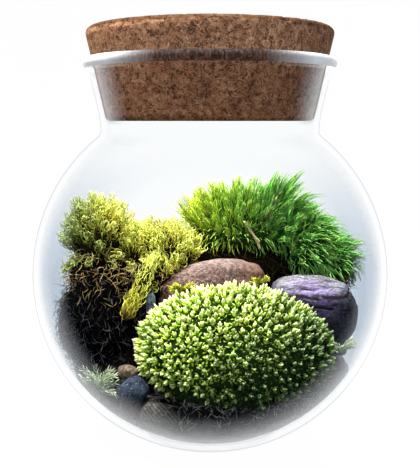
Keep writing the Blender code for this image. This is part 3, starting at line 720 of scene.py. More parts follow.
def ground_glass():
    """The rim's bead and lip: streaked, smoky glass; seen edge on, its ends turn pale and emit a painted
    light that stands in for the light the wall leads up.
    """
    material, tree, shader = new_finish(
        "ground_glass", 0.16, 0.5, Transmission_Weight=0.85, IOR=1.25, Specular_Tint=(0.1, 0.1, 0.1, 1.0))
    place = where(tree)
    lines = clouds(tree, stretched(tree, place, (1.0, 1.0, 0.06)), 1300.0, 3.0)
    smoky = ramp(tree, lines, [(0.36, (0.045, 0.035, 0.038)), (0.50, (0.12, 0.10, 0.11)),
                               (0.66, (0.34, 0.32, 0.34))])
    level = node(tree, "VectorMath", {0: place, 1: (1.0, 1.0, 0.0)}, operation="MULTIPLY").outputs[0]
    outward = node(tree, "VectorMath", {0: level}, operation="NORMALIZE").outputs[0]
    sideways = node(tree, "LayerWeight", {"Blend": 0.5, "Normal": outward}).outputs["Facing"]
    # The ends, seen edge on: paler, less clear and emitting, all painted light
    ends = grey_ramp(tree, sideways, [(0.10, 0.0), (0.45, 1.0)])
    dyed(tree, shader, mixed(tree, ends, smoky, (0.80, 0.83, 0.87)))
    clearness = grey_ramp(tree, sideways, [(0.10, 0.85), (0.45, 0.20)])
    tree.links.new(clearness, shader.inputs["Transmission Weight"])
    painted_glow = mixed(tree, ends, (0.0, 0.0, 0.0), (0.26, 0.29, 0.33))
    tree.links.new(painted_glow, shader.inputs["Emission Color"])
    shader.inputs["Emission Strength"].default_value = 1.0
    bumped(tree, shader, lines, 0.5, 0.0006)
    return material


class MOSSBOWL_OT_glass(bpy.types.Operator):
    """Builds the clear glass bowl"""

    bl_idname = "mossbowl.glass"
    bl_label = "Glass Bowl"

    def execute(self, context):
        points, faces = revolved(bowl_profile(), GLASS_SEGMENTS)
        bowl = mesh_piece("bowl_clear_glass", points, faces, clear_glass())
        bowl.data.set_sharp_from_angle(angle=math.radians(38))
        normals = np.array([vertex.normal[:] for vertex in bowl.data.vertices])
        mark_points(bowl, "outer", dot(normals, points - GLOBE_CENTRE)[:, 0] > 0.0)
        bowl.data.materials.append(ground_glass())
        for polygon in bowl.data.polygons:
            height = polygon.center[2] / MM
            if height > RIM_LOW_Z and math.hypot(*polygon.center[:2]) / MM > RIM_INNER_RADIUS:
                polygon.material_index = 1
        bowl.visible_shadow = False
        bowl.visible_diffuse = False
        hand_over(bowl, "glass_bowl")
        return {"FINISHED"}


# Cork

def curled_lines(tree, place, scale):
    """Thin short curled lines."""
    cloud = clouds(tree, place, scale, 2.0, 1.2)
    ridge = math_node(tree, "ABSOLUTE", math_node(tree, "SUBTRACT", cloud, 0.5))
    line = grey_ramp(tree, ridge, [(0.020, 0.9), (0.055, 0.0)])
    broken = grey_ramp(tree, clouds(tree, place, scale * 0.9 + 40.0, 2.0), [(0.44, 0.0), (0.54, 1.0)])
    return product(tree, line, broken)


def cork_finish():
    """Pressed cork: flakes of many browns with dark gaps, darker below the rim inside the neck, and a painted
    shade on its top edge.
    """
    material, tree, shader = new_finish("pressed_cork", 0.85, 0.2)
    place = where(tree)
    light = colours().cork_light
    dark = colours().cork_dark
    bend = node(tree, "TexNoise", {"Vector": place, "Scale": 330.0, "Detail": 4.0}).outputs["Color"]
    bent = node(tree, "VectorMath", {0: bend, 1: (0.0065, 0.0065, 0.0065), 2: place},
                operation="MULTIPLY_ADD").outputs[0]
    large = product(tree, cell_values(tree, bent, 300.0), 0.26)
    small = product(tree, cell_values(tree, bent, 900.0), 0.24)
    fine = product(tree, clouds(tree, bent, 800.0, 6.0, 1.5), 0.5)
    share = math_node(tree, "ADD", math_node(tree, "ADD", large, small), fine)
    tint = ramp(tree, share, [(0.26, times(dark, 0.8)), (0.40, mean(dark, mean(light, dark))),
                              (0.56, mean(light, dark)), (0.72, light), (0.86, times(light, 1.2))])
    grain = grey_ramp(tree, cell_values(tree, bent, 1500.0), [(0.05, 0.66), (0.30, 1.0), (1.0, 1.0)])
    tint = stained(tree, tint, grain)
    gaps = larger(tree, curled_lines(tree, place, 300.0), curled_lines(tree, place, 560.0))
    tint = mixed(tree, gaps, tint, times(dark, 0.16))
    tint = mixed(tree, mark(tree, "pit"), tint, times(dark, 0.25))
    # Darker below the rim, where the cork sits inside the neck
    darker_in_neck = rescaled(tree, axis_of(tree, place, "Z"), 0.184, 0.193, 0.92, 0.0,
                    interpolation_type="SMOOTHSTEP")
    tint = mixed(tree, darker_in_neck, tint, stained(tree, tint, (0.64, 0.57, 0.54)))
    # Painted shade: the top edge, where the key light falls hardest, is darkened
    tint = mixed(tree, mark(tree, "painted_top_shade"), tint, stained(tree, tint, (0.16, 0.16, 0.16)))
    dyed(tree, shader, tint)
    bumped(tree, shader, math_node(tree, "SUBTRACT", share, gaps), 0.5, 0.0005)
    return material


def cork_radius(height):
    """Radius of the cork at a height."""
    return CORK_RADIUS + CORK_TAPER * (height - TAPER_START_Z)


def cork_profile():
    """Side of the cork from the middle of its bottom to the middle of its top."""
    low = (cork_radius(CORK_BOTTOM_Z + CORK_EDGE) - CORK_EDGE, CORK_BOTTOM_Z + CORK_EDGE)
    high = (cork_radius(CORK_TOP_Z - CORK_EDGE) - CORK_EDGE, CORK_TOP_Z - CORK_EDGE)
    outline = [(0.0, CORK_BOTTOM_Z)] + arc(low, CORK_EDGE, -90, -12, 6) + arc(high, CORK_EDGE, -8, 90, 6)
    return finer(outline + [(0.0, CORK_TOP_Z)], CORK_STEP)


class MOSSBOWL_OT_cork(bpy.types.Operator):
    """Builds the pressed cork stopper"""

    bl_idname = "mossbowl.cork"
    bl_label = "Cork Stopper"

    def execute(self, context):
        points, faces = revolved(cork_profile(), CORK_SEGMENTS)
        outward = unit(points - (0.0, 0.0, (CORK_BOTTOM_Z + CORK_TOP_Z) / 2))
        gaps = np.array([noise.turbulence(Vector(point) * 0.34, 3, False) for point in points])
        chips = cloudy(points, 0.16, 5)
        pit = smooth(gaps, 0.62, 0.95)
        depth = pit * sizes().cork_pit / MM + smooth(chips, 0.35, 0.6) * 0.2 + 0.02
        depth += smooth(points[:, 2], 201.0, 205.0) * smooth(cloudy(points, 0.5, 8), 0.1, 0.5) * 0.7
        cork = mesh_piece("cork_pressed", points - outward * depth[:, None], faces, cork_finish())
        mark_points(cork, "pit", pit * 0.8)
        # Mask of the painted shade on the cork's top edge
        mark_points(cork, "painted_top_shade", smooth(points[:, 2], 202.8, 204.8))
        cork.visible_shadow = False
        hand_over(cork, "cork_stopper")
        return {"FINISHED"}


# Soil and gravel

def ground(x, y):
    """Height of the soil: low at the front, a bank at the back, lower at both sides."""
    bank = smooth(y, -46.0, 11.0)
    sides = 1.0 - smooth(np.abs(x + 4.0), 42.0, 82.0)
    heap = 14.0 * np.exp(-((x + 50.0) ** 2 + (y + 27.0) ** 2) / 260.0)
    shelf = 9.0 * np.exp(-((x - 56.0) ** 2 + (y + 24.0) ** 2) / 300.0)
    flat = np.column_stack([np.ravel(x), np.ravel(y), np.full(np.size(x), 4.0 / SOIL_BUMP_SCALE)])
    bumps = 1.6 * cloudy(flat, SOIL_BUMP_SCALE, 0).reshape(np.shape(x))
    return SOIL_FRONT_Z + SOIL_RISE * bank * sides + heap + shelf + bumps


def sphere_radius_at(height):
    """Horizontal radius of the content sphere at a height."""
    return np.sqrt(np.maximum(CONTENT_RADIUS ** 2 - (height - GLOBE_CENTRE[2]) ** 2, 0.0))


def soil_body():
    """The bank of soil: its top, its side against the glass and its flat bottom."""
    angles = np.arange(SOIL_SEGMENTS) * math.tau / SOIL_SEGMENTS
    east = np.cos(angles)
    north = np.sin(angles)
    reach = np.full(SOIL_SEGMENTS, 60.0)
    for _ in range(24):
        edge = ground(reach * east, reach * north)
        reach = 0.5 * (reach + sphere_radius_at(edge))
    steps_in = 44
    steps_down = 30
    rings = []
    for step in range(1, steps_in + 1):
        radius = reach * step / steps_in
        rings.append((radius, ground(radius * east, radius * north)))
    for step in range(1, steps_down + 1):
        height = edge + (SOIL_BOTTOM_Z - edge) * step / steps_down
        rings.append((sphere_radius_at(height), height))
    points = [np.array([[0.0, 0.0, float(ground(np.zeros(1), np.zeros(1))[0])]])]
    points += [np.column_stack([radius * east, radius * north, height]) for radius, height in rings]
    points.append(np.array([[0.0, 0.0, SOIL_BOTTOM_Z]]))
    points = np.concatenate(points)
    last = len(points) - 1
    faces = []
    for step in range(SOIL_SEGMENTS):
        after = (step + 1) % SOIL_SEGMENTS
        faces.append((0, 1 + step, 1 + after))
        for ring in range(len(rings) - 1):
            here = 1 + ring * SOIL_SEGMENTS
            above = here + SOIL_SEGMENTS
            faces.append((here + step, above + step, above + after, here + after))
        here = 1 + (len(rings) - 1) * SOIL_SEGMENTS
        faces.append((here + step, last, here + after))
    return points, faces


def soil_finish():
    """Damp crumbly soil with pale grit and brown bits."""
    material, tree, shader = new_finish("potting_soil", 0.9, 0.0)
    place = where(tree)
    base = colours().soil
    crumb = clouds(tree, place, 480.0, 6.0, 0.4, 0.7)
    tint = ramp(tree, crumb, [(0.35, times(base, 0.35)), (0.52, base), (0.66, times(base, 2.6))])
    grit = node(tree, "TexVoronoi", {"Vector": place, "Scale": 260.0}).outputs["Distance"]
    tint = mixed(tree, grey_ramp(tree, grit, [(0.07, 0.8), (0.13, 0.0)]), tint, (0.22, 0.20, 0.17))
    bits = grey_ramp(tree, cell_values(tree, place, 520.0), [(0.84, 0.0), (0.90, 0.8)])
    tint = mixed(tree, bits, tint, times(base, 7.0))
    dyed(tree, shader, tint)
    bumped(tree, shader, math_node(tree, "ADD", crumb, bits), 0.9, 0.0015)
    return material


def gravel_finish():
    """Mixed small pebbles, each of its own grey or brown."""
    material, tree, shader = new_finish("drainage_gravel", 0.7, 0.08)
    place = where(tree)
    tint = ramp(tree, mark(tree, "tone"), [
        (0.0, (0.030, 0.030, 0.034)), (0.3, (0.075, 0.070, 0.070)), (0.55, (0.13, 0.10, 0.08)),
        (0.75, (0.10, 0.115, 0.14)), (1.0, (0.24, 0.20, 0.16))])
    grains = clouds(tree, place, 700.0, 5.0, 0.3, 0.7)
    tint = mixed(tree, grey_ramp(tree, grains, [(0.45, 0.0), (0.65, 0.6)]), tint, (0.03, 0.028, 0.028))
    dyed(tree, shader, tint)
    bumped(tree, shader, grains, 0.4, 0.0004)
    return material


def gravel_bed():
    """A ring of pebbles against the glass, in two layers, round a flat core."""
    rng = np.random.default_rng(21)
    size = sizes().gravel / MM
    bed = Growth()
    heights = (6.6, 8.2, 10.0, 12.0, 14.0, GRAVEL_TOP_Z)
    outline = [(0.0, FLOOR_Z + 0.3), (36.0, FLOOR_Z + 0.3)]
    outline += [(float(sphere_radius_at(height)) - 0.4, height) for height in heights]
    core, faces = revolved(outline + [(0.0, GRAVEL_TOP_Z)], GRAVEL_SEGMENTS)
    triangles = [part for face in faces for part in (face[:3], face[:1] + face[2:]) if len(part) == 3]
    bed.add(core, triangles, tone=0.2)
    for count, height in ((30, 8.6), (34, 12.4)):
        for index in range(count):
            angle = math.tau * (index + rng.uniform(-0.25, 0.25)) / count
            semis = size * rng.uniform(0.75, 1.1, 3) * (0.8, 1.0, 0.72)
            low = height - semis[2] * 0.5
            reach = float(sphere_radius_at(low)) - semis[0] * 0.95
            centre = (reach * math.cos(angle), reach * math.sin(angle), height)
            lobe = Lobe(centre, semis, (rng.uniform(-15, 15), rng.uniform(-15, 15), math.degrees(angle)))
            points, faces = lump(lobe, 3, 0.16, 0.92, index + height)
            points = kept_in_globe(points)
            points[:, 2] = np.clip(points[:, 2], FLOOR_Z + 0.2, SOIL_BOTTOM_Z + 1.2)
            bed.add(points, faces, tone=rng.uniform())
    return bed


class MOSSBOWL_OT_ground(bpy.types.Operator):
    """Builds the drainage gravel and the soil"""

    bl_idname = "mossbowl.ground"
    bl_label = "Soil and Gravel"

    def execute(self, context):
        bed = gravel_bed().piece("gravel_pebbles", gravel_finish())
        hand_over(bed, "gravel_bed")
        points, faces = soil_body()
        crumbs = np.array([noise.turbulence(Vector(point) * 0.42, 4, False) for point in points])
        lumps = cloudy(points, 0.15, 7)
        arms = unit(points - GLOBE_CENTRE)
        rim = np.linalg.norm(points - GLOBE_CENTRE, axis=1) > CONTENT_RADIUS - 0.6
        push = np.where(rim, -np.abs(crumbs) * 0.9, 0.0)
        points = points + arms * push[:, None]
        points[:, 2] += np.where(rim, 0.0, (crumbs - 0.6) * 1.6 + lumps * 1.2)
        points[:, 2] = np.maximum(points[:, 2], SOIL_BOTTOM_Z)
        soil = mesh_piece("soil_crumbly", kept_in_globe(points), faces, soil_finish())
        hand_over(soil, "potting_soil")
        return {"FINISHED"}


# Stones

# The top mark of a side that faces straight up; the grey stone's painted light and shade follow it
FACING_UP = 0.86

# Long cracks of the grey stone: height, start and end from left to right, width
SLATE_CRACKS = (
    (76.8, 55.0, 72.0, 0.825),
    (75.0, 36.0, 54.0, 0.675),
    (71.0, 40.0, 60.0, 0.525),
    (78.6, 44.0, 52.0, 0.45),
)
CHIP_SPLIT_X = -29.9


def rose_layers(tree, place, tint):
    """Dark speckle that thickens into a painted shade on the low, front and left sides, and a warmer, darker
    brown at the right end.
    """
    across = axis_of(tree, place, "X")
    # Painted shade: more dark speckle on the low, front and left sides
    low = rescaled(tree, axis_of(tree, place, "Z"), 0.072, 0.089, 1.0, 0.0)
    front = rescaled(tree, axis_of(tree, place, "Y"), -0.019, -0.004, 1.0, 0.0)
    left = rescaled(tree, across, -0.022, -0.005, 1.0, 0.0)
    shade = larger(tree, product(tree, larger(tree, low, front), 0.95), left)
    grains = clouds(tree, place, 620.0, 3.0, 0.2, 0.8)
    amount = product(tree, shade, grey_ramp(tree, grains, [(0.36, 0.45), (0.52, 1.0)]))
    tint = mixed(tree, amount, tint, (0.055, 0.020, 0.012))
    warm = rescaled(tree, across, 0.010, 0.026, 0.0, 0.6)
    return mixed(tree, warm, tint, (0.20, 0.075, 0.03))


def slate_layers(tree, place, tint):
    """A violet stain in the middle, painted light on the top, painted shade on the sides and foot, and dark
    cracks.
    """
    centre = (0.050, -0.022, 0.073)
    middle = node(tree, "VectorMath", {0: place, 1: centre}, operation="DISTANCE").outputs["Value"]
    ragged = product(tree, clouds(tree, place, 160.0, 4.0, 1.0), 0.012)
    stain = rescaled(tree, math_node(tree, "ADD", middle, ragged), 0.010, 0.024, 0.85, 0.0)
    streaks = clouds(tree, place, 330.0, 5.0, 1.5)
    stain = product(tree, stain, grey_ramp(tree, streaks, [(0.36, 0.25), (0.6, 1.0)]))
    tint = mixed(tree, stain, tint, colours().violet)
    strata = stretched(tree, place, (0.16, 0.7, 1.0))
    lines = grey_ramp(tree, clouds(tree, strata, 700.0, 4.0, 0.6), [(0.50, 0.0), (0.60, 0.6)])
    lines = larger(tree, lines, curled_lines(tree, strata, 210.0))
    tint = mixed(tree, lines, tint, (0.030, 0.026, 0.040))
    top = mark(tree, "top")
    # Painted shade on the sides and the foot
    foot = product(tree, rescaled(tree, axis_of(tree, place, "Z"), 0.058, 0.072, 1.0, 0.0), 0.9)
    dark = larger(tree, math_node(tree, "SUBTRACT", FACING_UP, top), foot)
    tint = mixed(tree, dark, tint, stained(tree, tint, (0.14, 0.15, 0.18)))
    # Painted light: the top made up to twice as bright
    bright = grey_ramp(tree, top, [(0.60, 0.0), (FACING_UP, 1.0)])
    tint = mixed(tree, bright, tint, stained(tree, tint, (2.0, 2.0, 1.9)))
    return mixed(tree, mark(tree, "crack"), tint, (0.018, 0.012, 0.014))


def lined_layers(tree, place, tint):
    """Fine pale lines across a pebble."""
    tilt = node(tree, "Mapping", {"Vector": place, "Rotation": (0.4, 0.7, 0.0)})
    lines = node(tree, "TexWave", {"Vector": tilt.outputs[0], "Scale": 210.0, "Distortion": 2.5,
                                   "Detail": 3.0}).outputs["Fac"]
    return mixed(tree, grey_ramp(tree, lines, [(0.80, 0.0), (0.95, 0.5)]), tint, (0.26, 0.235, 0.20))


def stone_finishes():
    """The finish of every stone."""
    black = (0.020, 0.020, 0.024)
    return {
        "stone_rose": stone_finish("rose_stone", colours().rose, (0.11, 0.055, 0.042),
                                   (0.62, 0.50, 0.47), 620.0, 0.55, rose_layers),
        "stone_slate": stone_finish("violet_slate", (0.17, 0.165, 0.20), (0.045, 0.04, 0.06),
                                    (0.52, 0.50, 0.62), 560.0, 0.6, slate_layers),
        "stone_dark": stone_finish("dark_rock", (0.085, 0.08, 0.095), black, (0.20, 0.19, 0.22), 500.0),
        "pebble_tan": stone_finish("tan_pebble", (0.080, 0.072, 0.066), (0.03, 0.026, 0.024),
                                   (0.26, 0.23, 0.20), 520.0, 0.5, lined_layers),
        "pebble_blue": stone_finish("blue_pebble", (0.060, 0.078, 0.115), (0.012, 0.016, 0.03),
                                    (0.36, 0.42, 0.52), 420.0),
        "pebble_brown": stone_finish("brown_pebble", (0.16, 0.11, 0.095), (0.05, 0.03, 0.028),
                                     (0.26, 0.20, 0.18), 480.0),
        "pebble_sand": stone_finish("sand_pebble", (0.20, 0.145, 0.10), (0.07, 0.045, 0.035),
                                   (0.36, 0.29, 0.22), 520.0),
        "pebble_grey_left": stone_finish("grey_pebble", (0.11, 0.105, 0.10), black, (0.26, 0.25, 0.24)),
        "pebble_black": stone_finish("black_pebble", (0.035, 0.034, 0.038), black, (0.12, 0.12, 0.13)),
        "pebble_grey_right": stone_finish("ash_pebble", (0.14, 0.135, 0.14), black, (0.30, 0.29, 0.29)),
        "slate_chip": stone_finish("blue_slate", (0.27, 0.35, 0.45), (0.03, 0.04, 0.07),
                                   (0.62, 0.74, 0.84), 600.0),
    }


def slate_cracks(points):
    """How far each point of the grey stone lies in one of its long cracks."""
    amount = np.zeros(len(points))
    wave = cloudy(points, 0.09, 2) * 1.6 + cloudy(points, 0.4, 3) * 0.35
    for height, start, end, width in SLATE_CRACKS:
        gap = np.abs(points[:, 2] + wave - height - (points[:, 0] - 50.0) * -0.03)
        along = smooth(points[:, 0], start - 2, start + 1) * (1 - smooth(points[:, 0], end - 1, end + 2))
        amount = np.maximum(amount, (1.0 - smooth(gap, width * 0.4, width * 1.4)) * along)
    return amount


class MOSSBOWL_OT_stones(bpy.types.Operator):
    """Builds the stones, the pebbles and the slate chip"""

    bl_idname = "mossbowl.stones"
    bl_label = "Stones and Pebbles"

    def execute(self, context):
        finishes = stone_finishes()
        for name, (lobe, detail, bumps, squareness, seed) in STONES.items():
            points, faces = lump(lobe, detail, bumps, squareness, seed)
            out = unit(points - lobe.centre)
            grain = cloudy(points, 0.9, seed) * 0.12 + cloudy(points, 0.3, seed + 1) * 0.25
            crack = slate_cracks(points) if name == "stone_slate" else np.zeros(len(points))
            if name == "slate_chip":
                split = 1.0 - smooth(np.abs(points[:, 0] - CHIP_SPLIT_X), 0.15, 0.7)
                crack = split * (out[:, 1] < 0.2)
            points = points + out * (grain - crack * 0.8 - 0.15)[:, None]
            piece = mesh_piece(name + "_detailed", kept_in_globe(points), faces, finishes[name])
            mark_points(piece, "crack", crack)
            # The top mark, which the grey stone's painted light and shade follow
            mark_points(piece, "top", smooth(out[:, 2], 0.25, 0.75) * FACING_UP)
            hand_over(piece, name)
        return {"FINISHED"}


# Cushion moss

def buds(growth, lobe, ways, rng, tone, closed=BUD_LEAVES):
    """Shoots with dark leaves spread at their foot and broad pale ones closed into a bud."""
    count = len(ways)
    normals = lobe.normals(ways)
    axes = unit(normals + UP * 0.45 + jitter(rng, count, 0.22))
    roots = lobe.place(ways) - normals * 1.2
    height = rng.uniform(2.0, 4.6, count)
    girth = rng.uniform(0.75, 1.15, count)
    side, other = beside(axes)
    twist = rng.uniform(0, math.tau, count)
    # Painted shade: where the tone is shaded, fewer shoots are bright
    shade = rng.uniform(0.0, 1.0, count) ** (1.0 + 1.5 * tone)
    for leaf in range(FOOT_LEAVES + closed):
        in_bud = leaf >= FOOT_LEAVES
        rise = (0.55 + 0.45 * (leaf - FOOT_LEAVES) / (BUD_LEAVES - 1)) if in_bud else 0.5 * leaf / FOOT_LEAVES
        spread = math.radians(44 - 34 * (rise - 0.55) / 0.45 if in_bud else 74 - 30 * rise)
        angle = twist + GOLDEN * leaf
        out = side * np.cos(angle)[:, None] + other * np.sin(angle)[:, None]
        ahead = unit(axes * math.cos(spread) + out * math.sin(spread) + jitter(rng, count, 0.12))
        start = roots + axes * (height * rise)[:, None] + out * 0.15
        size = sizes().shoot_leaf / MM * rng.uniform(0.8, 1.15, count)
        paths = curving(start, ahead, axes, size, rng.uniform(0.2, 0.7, count), 4)
        keep = in_glass(paths[:, -1])
        width = girth * (0.74 if in_bud else 0.56)
        growth.add_blades(paths[keep], np.cross(axes, out)[keep], width[keep],
                          BUD_TAPER, CUPPED, np.full(keep.sum(), rise), shade[keep], tone[keep])


def cushion_finish():
    """Green leaves with cream tips over dark gaps that are partly painted shade; the shaded stops are a
    painted shade for shoots low and to the right.
    """
    tip = colours().cushion_tip
    leaf = colours().cushion_leaf
    sunny = [(0.0, (0.030, 0.062, 0.008)), (0.20, times(leaf, 0.60)), (0.40, leaf),
             (0.66, (0.60, 0.76, 0.12)), (0.86, tip), (1.0, times(tip, 1.15))]
    shaded = [(0.0, (0.001, 0.005, 0.005)), (0.34, (0.012, 0.030, 0.014)), (0.58, (0.045, 0.10, 0.030)),
              (0.76, (0.18, 0.33, 0.085)), (0.90, times(tip, 0.66)), (1.0, times(tip, 1.2))]
    return leaf_finish("cushion_leaves", sunny, shaded)


def fringe(growth, lobe, spacing, rng, width, tone_of, curl=1.2, fall=0.8, reach=1.0):
    """Thin dead strands or root fibres that hang from a lobe."""
    ways = scattered(lobe, spacing, rng)
    normals = lobe.normals(ways)
    roots = lobe.place(ways) - normals * 0.8
    count = len(roots)
    ahead = unit(normals - UP * fall * 0.5 + jitter(rng, count, 0.7))
    towards = unit(jitter(rng, count, 1.0) - UP * fall)
    size = sizes().strand / MM * reach * rng.uniform(0.5, 1.3, count)
    paths = curving(roots, ahead, towards, size, rng.uniform(0.3, curl * 2, count), 5)
    keep = in_glass(paths).all(axis=1) & outside(paths[:, -1], STONE_LOBES, 1.08)
    paths = paths[keep]
    tone = np.clip(tone_of(paths[:, 0]) + rng.uniform(-0.25, 0.25, len(paths)), 0, 1)
    growth.add_blades(paths, unit(np.cross(paths[:, 1] - paths[:, 0], UP) + 1e-4),
                      rng.uniform(0.6, 1.3, len(paths)) * width, STRAND_TAPER, STRAND,
                      np.zeros(len(paths)), rng.uniform(0, 1, len(paths)), tone)


def roots_finish():
    """Grey brown root fibres."""
    return leaf_finish("root_fibres",
                       [(0.0, (0.014, 0.013, 0.012)), (0.15, (0.20, 0.18, 0.16)), (0.5, (0.76, 0.70, 0.64))],
                       [(0.0, (0.011, 0.011, 0.011)), (0.15, (0.16, 0.16, 0.163)), (0.5, (0.66, 0.65, 0.65))],
                       0.85)


class MOSSBOWL_OT_cushion(bpy.types.Operator):
    """Builds the cushion moss and its roots"""

    bl_idname = "mossbowl.cushion"
    bl_label = "Cushion Moss"

    def execute(self, context):
        rng = np.random.default_rng(51)
        ways = scattered(CUSHION, sizes().shoot_spacing / MM, rng)
        places = CUSHION.place(ways)
        under = (CUSHION.normals(ways)[:, 2] < -0.62) | (places[:, 2] < 27.0)
        sparse = rng.uniform(0, 1, len(ways)) > smooth(places[:, 2], 24.0, 46.0)
        free = outside(places, STONE_LOBES, 1.0) & ~under
        bare = ways[free & sparse]
        free &= ~sparse
        ways = ways[free]
        places = places[free]
        # Painted shade: shoots low and to the right, in patches, take the shaded colours
        tone = np.clip(smooth(places[:, 0] * 0.6 - places[:, 2] * 0.8, -54.0, -18.0)
                       + cloudy(places, 0.09, 9) * 0.5, 0.0, 1.0)
        moss = Growth()
        moss.add_core(CUSHION, 0.985, 50, 0.5)
        buds(moss, CUSHION, ways, rng, tone)
        # Bare spots low on the cushion get foot leaves in the shaded colours, a painted shade
        buds(moss, CUSHION, bare, rng, np.ones(len(bare)), 0)
        piece = moss.piece("cushion_moss_shoots", cushion_finish())
        hand_over(piece, "cushion_moss")

        def greyness(points):
            return smooth(points[:, 0], -30, 50)

        roots = Growth()
        roots.add_core(CUSHION_ROOTS, 0.96, 80, 0.7, 3)
        fringe(roots, CUSHION_ROOTS, 1.25, rng, 0.22, greyness, curl=1.8)
        piece = roots.piece("cushion_root_fibres", roots_finish())
        hand_over(piece, "cushion_roots")
        return {"FINISHED"}


# Fork moss

def fork_roots(lobe, spacing, others, rng):
    """Roots and normals of the leaves on a fork moss lobe, and which leaves are still green."""
    ways = scattered(lobe, spacing, rng)
    normals = lobe.normals(ways)
    roots = lobe.place(ways)
    free = (normals[:, 2] > -0.8) & outside(roots, others, 0.95) & outside(roots, STONE_LOBES, 1.0)
    roots, normals = roots[free], normals[free]
    lowest = 94.5 - 14.0 * smooth(roots[:, 0], 26.0, 48.0)
    return roots, normals, roots[:, 2] + rng.normal(0.0, 1.5, len(roots)) > lowest


def rightness(roots):
    """0 on the left of the fork moss and 1 at its right end."""
    return smooth(roots[:, 0], 24.0, 66.0)


def sweep_of(roots):
    """Level directions away from the middle of the fork moss."""
    return unit(np.column_stack([roots[:, 0] - 14.0, (roots[:, 1] - 27.0) * 0.8, np.zeros(len(roots))]))


def add_fork_leaves(growth, paths, side, roots, width, rise, rng):
    """Adds leaves whose colour follows the place of their roots."""
    keep = in_glass(paths).all(axis=1) & outside(paths[:, 2], STONE_LOBES, 1.06)
    count = len(roots)
    right = rightness(roots)
    # Painted light and shade: the tone moves the colours from the sunny left to the shaded right
    lean = np.clip(smooth(roots[:, 0], -20.0, 42.0) + 0.2 * rng.uniform(-1, 1, count), 0, 1)
    # Pale leaves, more of them to the right, are painted highlights
    pale = rng.uniform(0, 1, count) < 0.02 + 0.14 * right
    shade = np.where(pale, 1.8, rng.uniform(0, 0.9, count))
    wide = (width + 0.10 * right) * rng.uniform(0.8, 1.2, count)
    growth.add_blades(paths[keep], side[keep] + 1e-4, wide[keep], FORK_TAPER, LEAF,
                      np.full(keep.sum(), rise), shade[keep], lean[keep])


def bundles(growth, roots, normals, rng):
    """Bundles of leaves that close to a point, upright on the left and arched on the right."""
    count = len(roots)
    right = rightness(roots)
    axes = unit(normals * (0.5 + 0.3 * right)[:, None] + UP * (0.95 - 0.3 * right)[:, None]
                + jitter(rng, count, 0.34))
    side, other = beside(axes)
    towards = unit(sweep_of(roots) * (0.3 + 0.7 * right)[:, None] - UP * (0.05 + 0.75 * right)[:, None])
    peak = np.exp(-((roots[:, 0] - 39.0) ** 2 + (roots[:, 1] - 22.0) ** 2) / 130.0)
    notch = np.exp(-((roots[:, 0] - 64.0) ** 2 + (roots[:, 2] - 104.0) ** 2) / 60.0)
    tall = (rng.uniform(0.75, 1.2, count) + 0.85 * peak) * (1.0 - 0.5 * notch)
    reach = sizes().fork_leaf / MM * tall * 1.15
    turns = rng.uniform(0.1, 0.6, count) + 1.3 * right
    spine = curving(roots - normals * 4.0, axes, towards, reach, turns, 12, 1.4)
    twist = rng.uniform(0, math.tau, count)
    share = np.linspace(0.0, 1.0, 6)
    leaves = sizes().fork_leaves
    for leaf in range(leaves):
        rise = leaf / (leaves - 1)
        angle = twist + GOLDEN * leaf
        out = side * np.cos(angle)[:, None] + other * np.sin(angle)[:, None]
        begin = 0.45 * rise
        end = begin + (1.0 - begin) * rng.uniform(0.62, 1.0, count)
        bow = (1.9 - 0.9 * rise) * rng.uniform(0.5, 1.3, count)
        stray = np.maximum(rng.normal(0.5, 0.9, count) * (1.0 + right), -0.4)
        paths = points_along(spine, begin + (end - begin)[:, None] * share)
        paths = paths + out[:, None] * (bow[:, None] * np.sin(math.pi * share ** 0.7)
                                        + stray[:, None] * share ** 2)[..., None]
        add_fork_leaves(growth, paths, out * 0.3 + np.cross(axes, UP), roots, 0.31, rise, rng)


def arching_leaves(growth, roots, normals, size, rng, rise, tone=None):
    """Single leaves that stand off the clump, then bend outwards and down; a tone marks dead ones."""
    count = len(roots)
    right = rightness(roots)
    under = 1.0 - smooth(normals[:, 2], -0.6, 0.2)
    ahead = unit(normals * 0.8 + UP * (0.8 - 0.2 * right - 0.6 * under)[:, None] + jitter(rng, count, 0.5))
    towards = unit(sweep_of(roots) * (0.4 + 0.6 * right)[:, None] + jitter(rng, count, 0.35)
                   - UP * (0.1 + 0.9 * right + 0.7 * under)[:, None])
    length_here = size * rng.uniform(0.55, 1.0, count) * (0.75 + 0.25 * right)
    turns = rng.uniform(0.3, 1.1, count) + 1.2 * right + 0.8 * under
    paths = curving(roots - normals * 1.5, ahead, towards, length_here, turns, 5, 1.3)
    side = np.cross(ahead, UP) + 1e-4
    if tone is None:
        add_fork_leaves(growth, paths, side, roots, 0.27, rise, rng)
    else:
        keep = in_glass(paths).all(axis=1) & outside(paths[:, 2], STONE_LOBES, 1.06)
        growth.add_blades(paths[keep], side[keep], rng.uniform(0.22, 0.36, keep.sum()),
                          FORK_TAPER, LEAF, np.full(keep.sum(), rise),
                          rng.uniform(0, 1.3, keep.sum()), np.full(keep.sum(), tone))


def fork_finish():
    """Leaves from yellow green on the sunny left to deep green on the shaded right: a painted light and
    shade.
    """
    left = colours().fork_left
    right = colours().fork_right
    return leaf_finish(
        "fork_leaves",
        [(0.0, times(right, 0.20)), (0.2, times(left, 0.45)), (0.45, left), (1.0, (0.68, 0.78, 0.08))],
        [(0.0, times(right, 0.06)), (0.2, times(right, 0.35)), (0.48, right), (1.0, (0.36, 0.62, 0.15))],
        0.4)


def fork_base_finish():
    """Dark brown dead leaves with olive curls."""
    return leaf_finish(
        "fork_dead_leaves",
        [(0.0, (0.006, 0.005, 0.002)), (0.4, (0.060, 0.045, 0.010)), (1.0, (0.30, 0.27, 0.06))],
        [(0.0, (0.005, 0.004, 0.002)), (1.0, (0.035, 0.030, 0.012))], 0.8)


